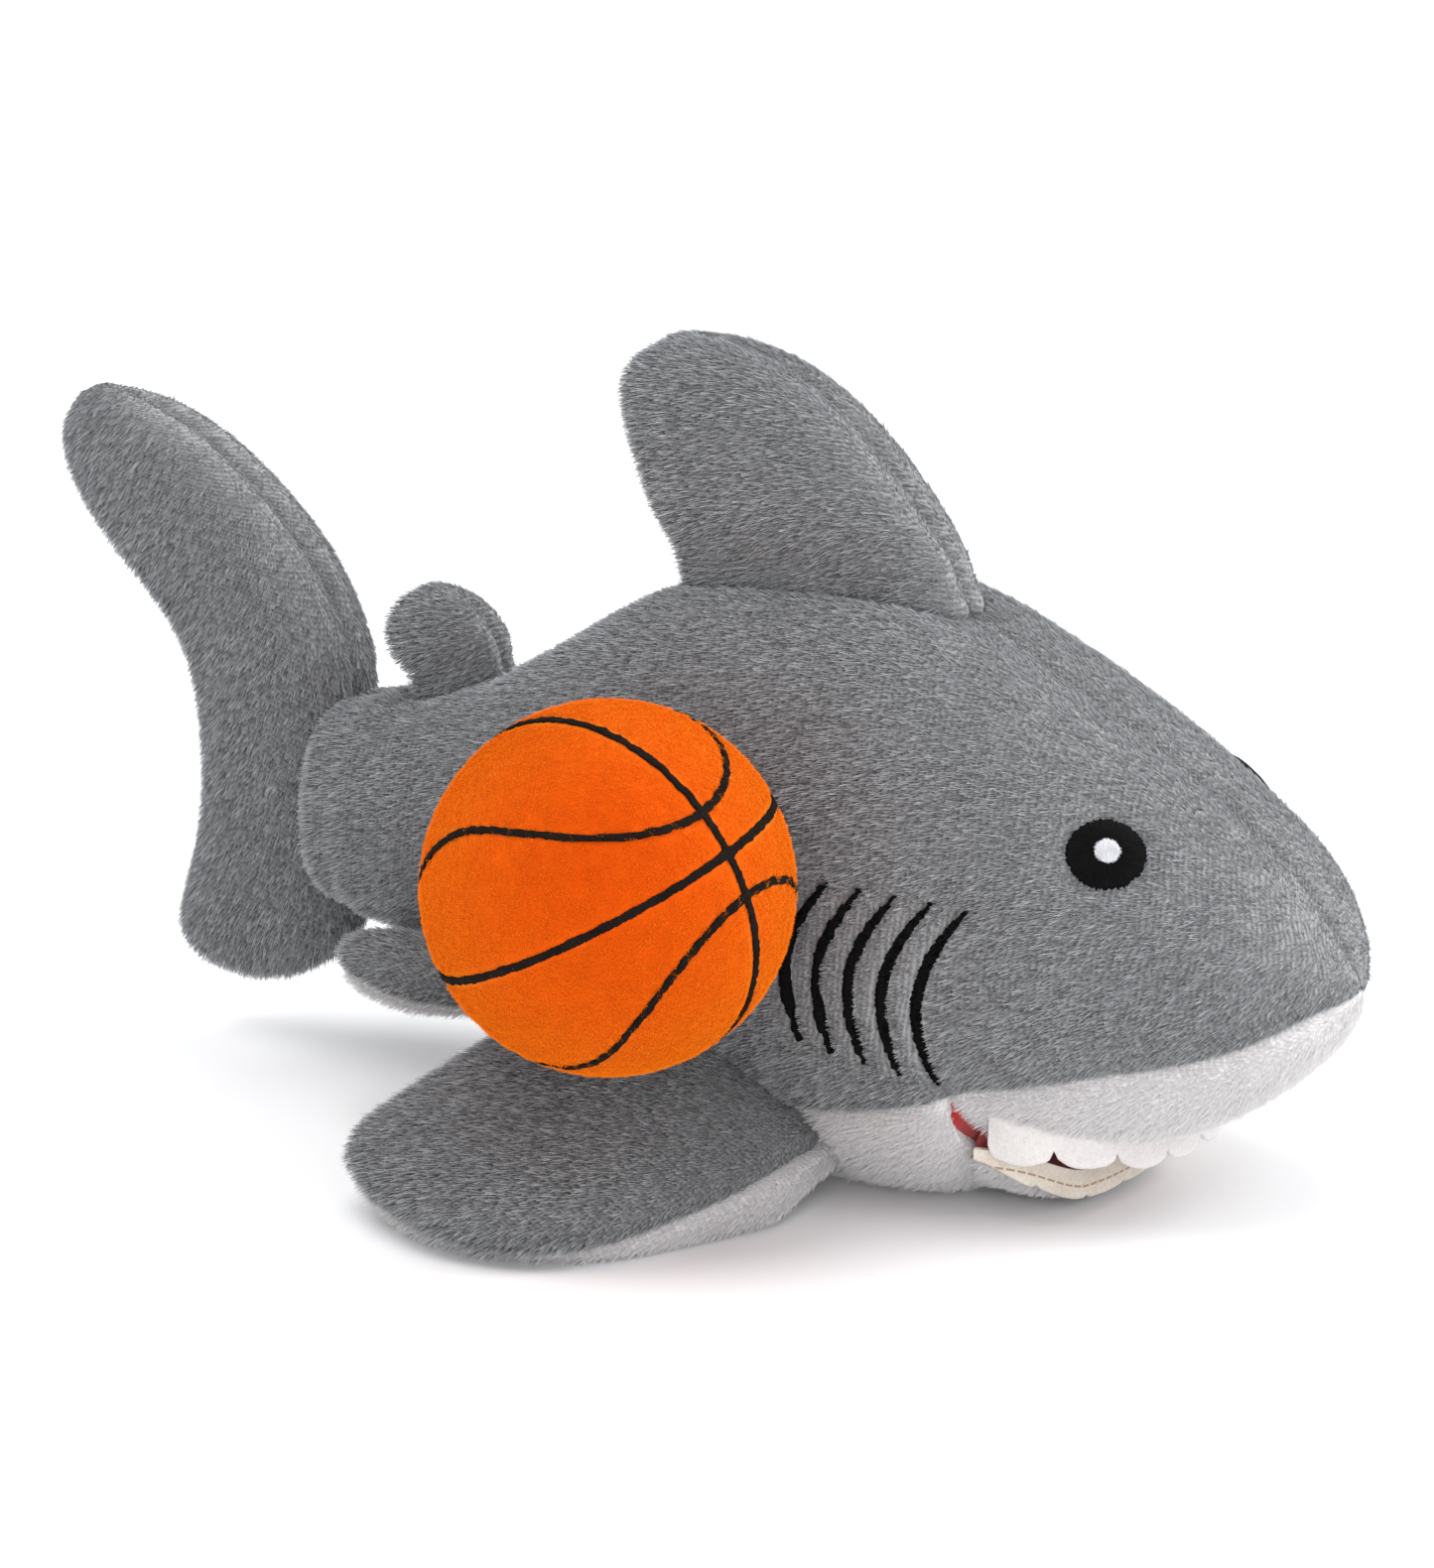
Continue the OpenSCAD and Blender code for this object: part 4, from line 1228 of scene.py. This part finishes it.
def ball_stitches(node):
    """One of the ball's CAD lines rebuilt as an uneven row of chain stitches."""
    obj = bpy.data.objects.new(node.replace("lines", "stitches"), NODES[node].data.copy())
    bpy.context.scene.collection.objects.link(obj)
    remesh = obj.modifiers.new("remesh", "REMESH")
    remesh.mode = "VOXEL"
    remesh.voxel_size = LINE_VOXEL
    bpy.context.view_layer.update()
    made = bpy.data.meshes.new_from_object(obj.evaluated_get(bpy.context.evaluated_depsgraph_get()))
    obj.modifiers.clear()
    obj.data = made
    co = np.zeros(len(made.vertices) * 3)
    made.vertices.foreach_get("co", co)
    co = co.reshape(-1, 3)
    sideways = np.stack([ripple(co, 1.6 * MM, seed) for seed in (71, 72, 73)], axis=-1)
    deep = 0.5 * LINE_WANDER * ripple(co, 1.1 * MM, 76)[:, None] - LINE_SINK
    co = co + sideways * LINE_WANDER + unit(co - ball_at) * deep
    made.vertices.foreach_set("co", co.ravel())
    made.polygons.foreach_set("use_smooth", [True] * len(made.polygons))
    made.materials.clear()
    made.update()
    settle(obj, line_felt, "ball", [node])


for node in BALL_LINES:
    ball_stitches(node)

tape = felt_material("hook_and_loop", (0.02, 0.02, 0.02), (0.10, 0.10, 0.10))
tape_grey = felt_material("loop_tape", (0.13, 0.13, 0.14), (0.30, 0.30, 0.31))
for node, material in (("ball_hook_dot", tape), ("flank_loop_dot", tape_grey)):
    NODES[node].data.materials.clear()
    NODES[node].data.materials.append(material)


# ---------------- stage

# Half the floor's width, the sky's light, the softbox (where it stands and looks, its size and its
# watts), and the suns: where each stands, how many degrees wide it is, and how strong.
FLOOR = 12
SKY = 0.86
SOFTBOX = (Vector((0.42, -0.55, 0.16)), Vector((0.03, 0, 0.06)), 0.4, 1.35)
SUNS = {
    "key": ((-0.15, -0.15, 1.0), 45, 1.3),
    "rim": ((0.75, 0.70, 0.60), 35, 2.2),
    "back": ((-0.8, -0.2, 0.7), 40, 0.5),
}


def turned(obj, way):
    """Puts a light or camera into the scene, with its back turned towards a direction."""
    obj.rotation_mode = "QUATERNION"
    obj.rotation_quaternion = Vector(way).to_track_quat("Z", "Y")
    bpy.context.scene.collection.objects.link(obj)


def stage():
    mat, _, _ = paint("studio_floor", Base_Color=(0.90, 0.90, 0.905, 1), Roughness=0.6)
    corners = [(-FLOOR, -FLOOR, 0), (FLOOR, -FLOOR, 0), (FLOOR, FLOOR, 0), (-FLOOR, FLOOR, 0)]
    floor = add_object("floor", corners, [(0, 1, 2, 3)])
    floor.data.materials.append(mat)

    world = bpy.data.worlds.new("studio")
    bpy.context.scene.world = world
    world.use_nodes = True
    background = world.node_tree.nodes["Background"]
    background.inputs["Color"].default_value = (0.97, 0.98, 1.0, 1)
    background.inputs["Strength"].default_value = SKY
    for name, (way, spread, strength) in SUNS.items():
        sun = bpy.data.lights.new(name, "SUN")
        sun.angle = math.radians(spread)
        sun.energy = strength
        turned(bpy.data.objects.new(name, sun), way)
    softbox = bpy.data.lights.new("softbox", "AREA")
    place, target, softbox.size, softbox.energy = SOFTBOX
    lamp = bpy.data.objects.new("softbox", softbox)
    lamp.location = place
    turned(lamp, place - target)

    camera = bpy.data.cameras.new("camera")
    camera.lens = 134.9
    camera.sensor_width = 36.0
    camera.clip_start = 0.05
    eye = bpy.data.objects.new("camera", camera)
    azimuth, elevation, distance = math.radians(30), math.radians(15), 1.2
    target = Vector((-0.030, 0.0, 0.070))
    back = Vector((math.sin(azimuth) * math.cos(elevation), -math.cos(azimuth) * math.cos(elevation),
                   math.sin(elevation)))
    eye.location = target + back * distance
    turned(eye, back)
    bpy.context.scene.camera = eye
    bpy.context.scene.view_settings.view_transform = "Standard"


stage()
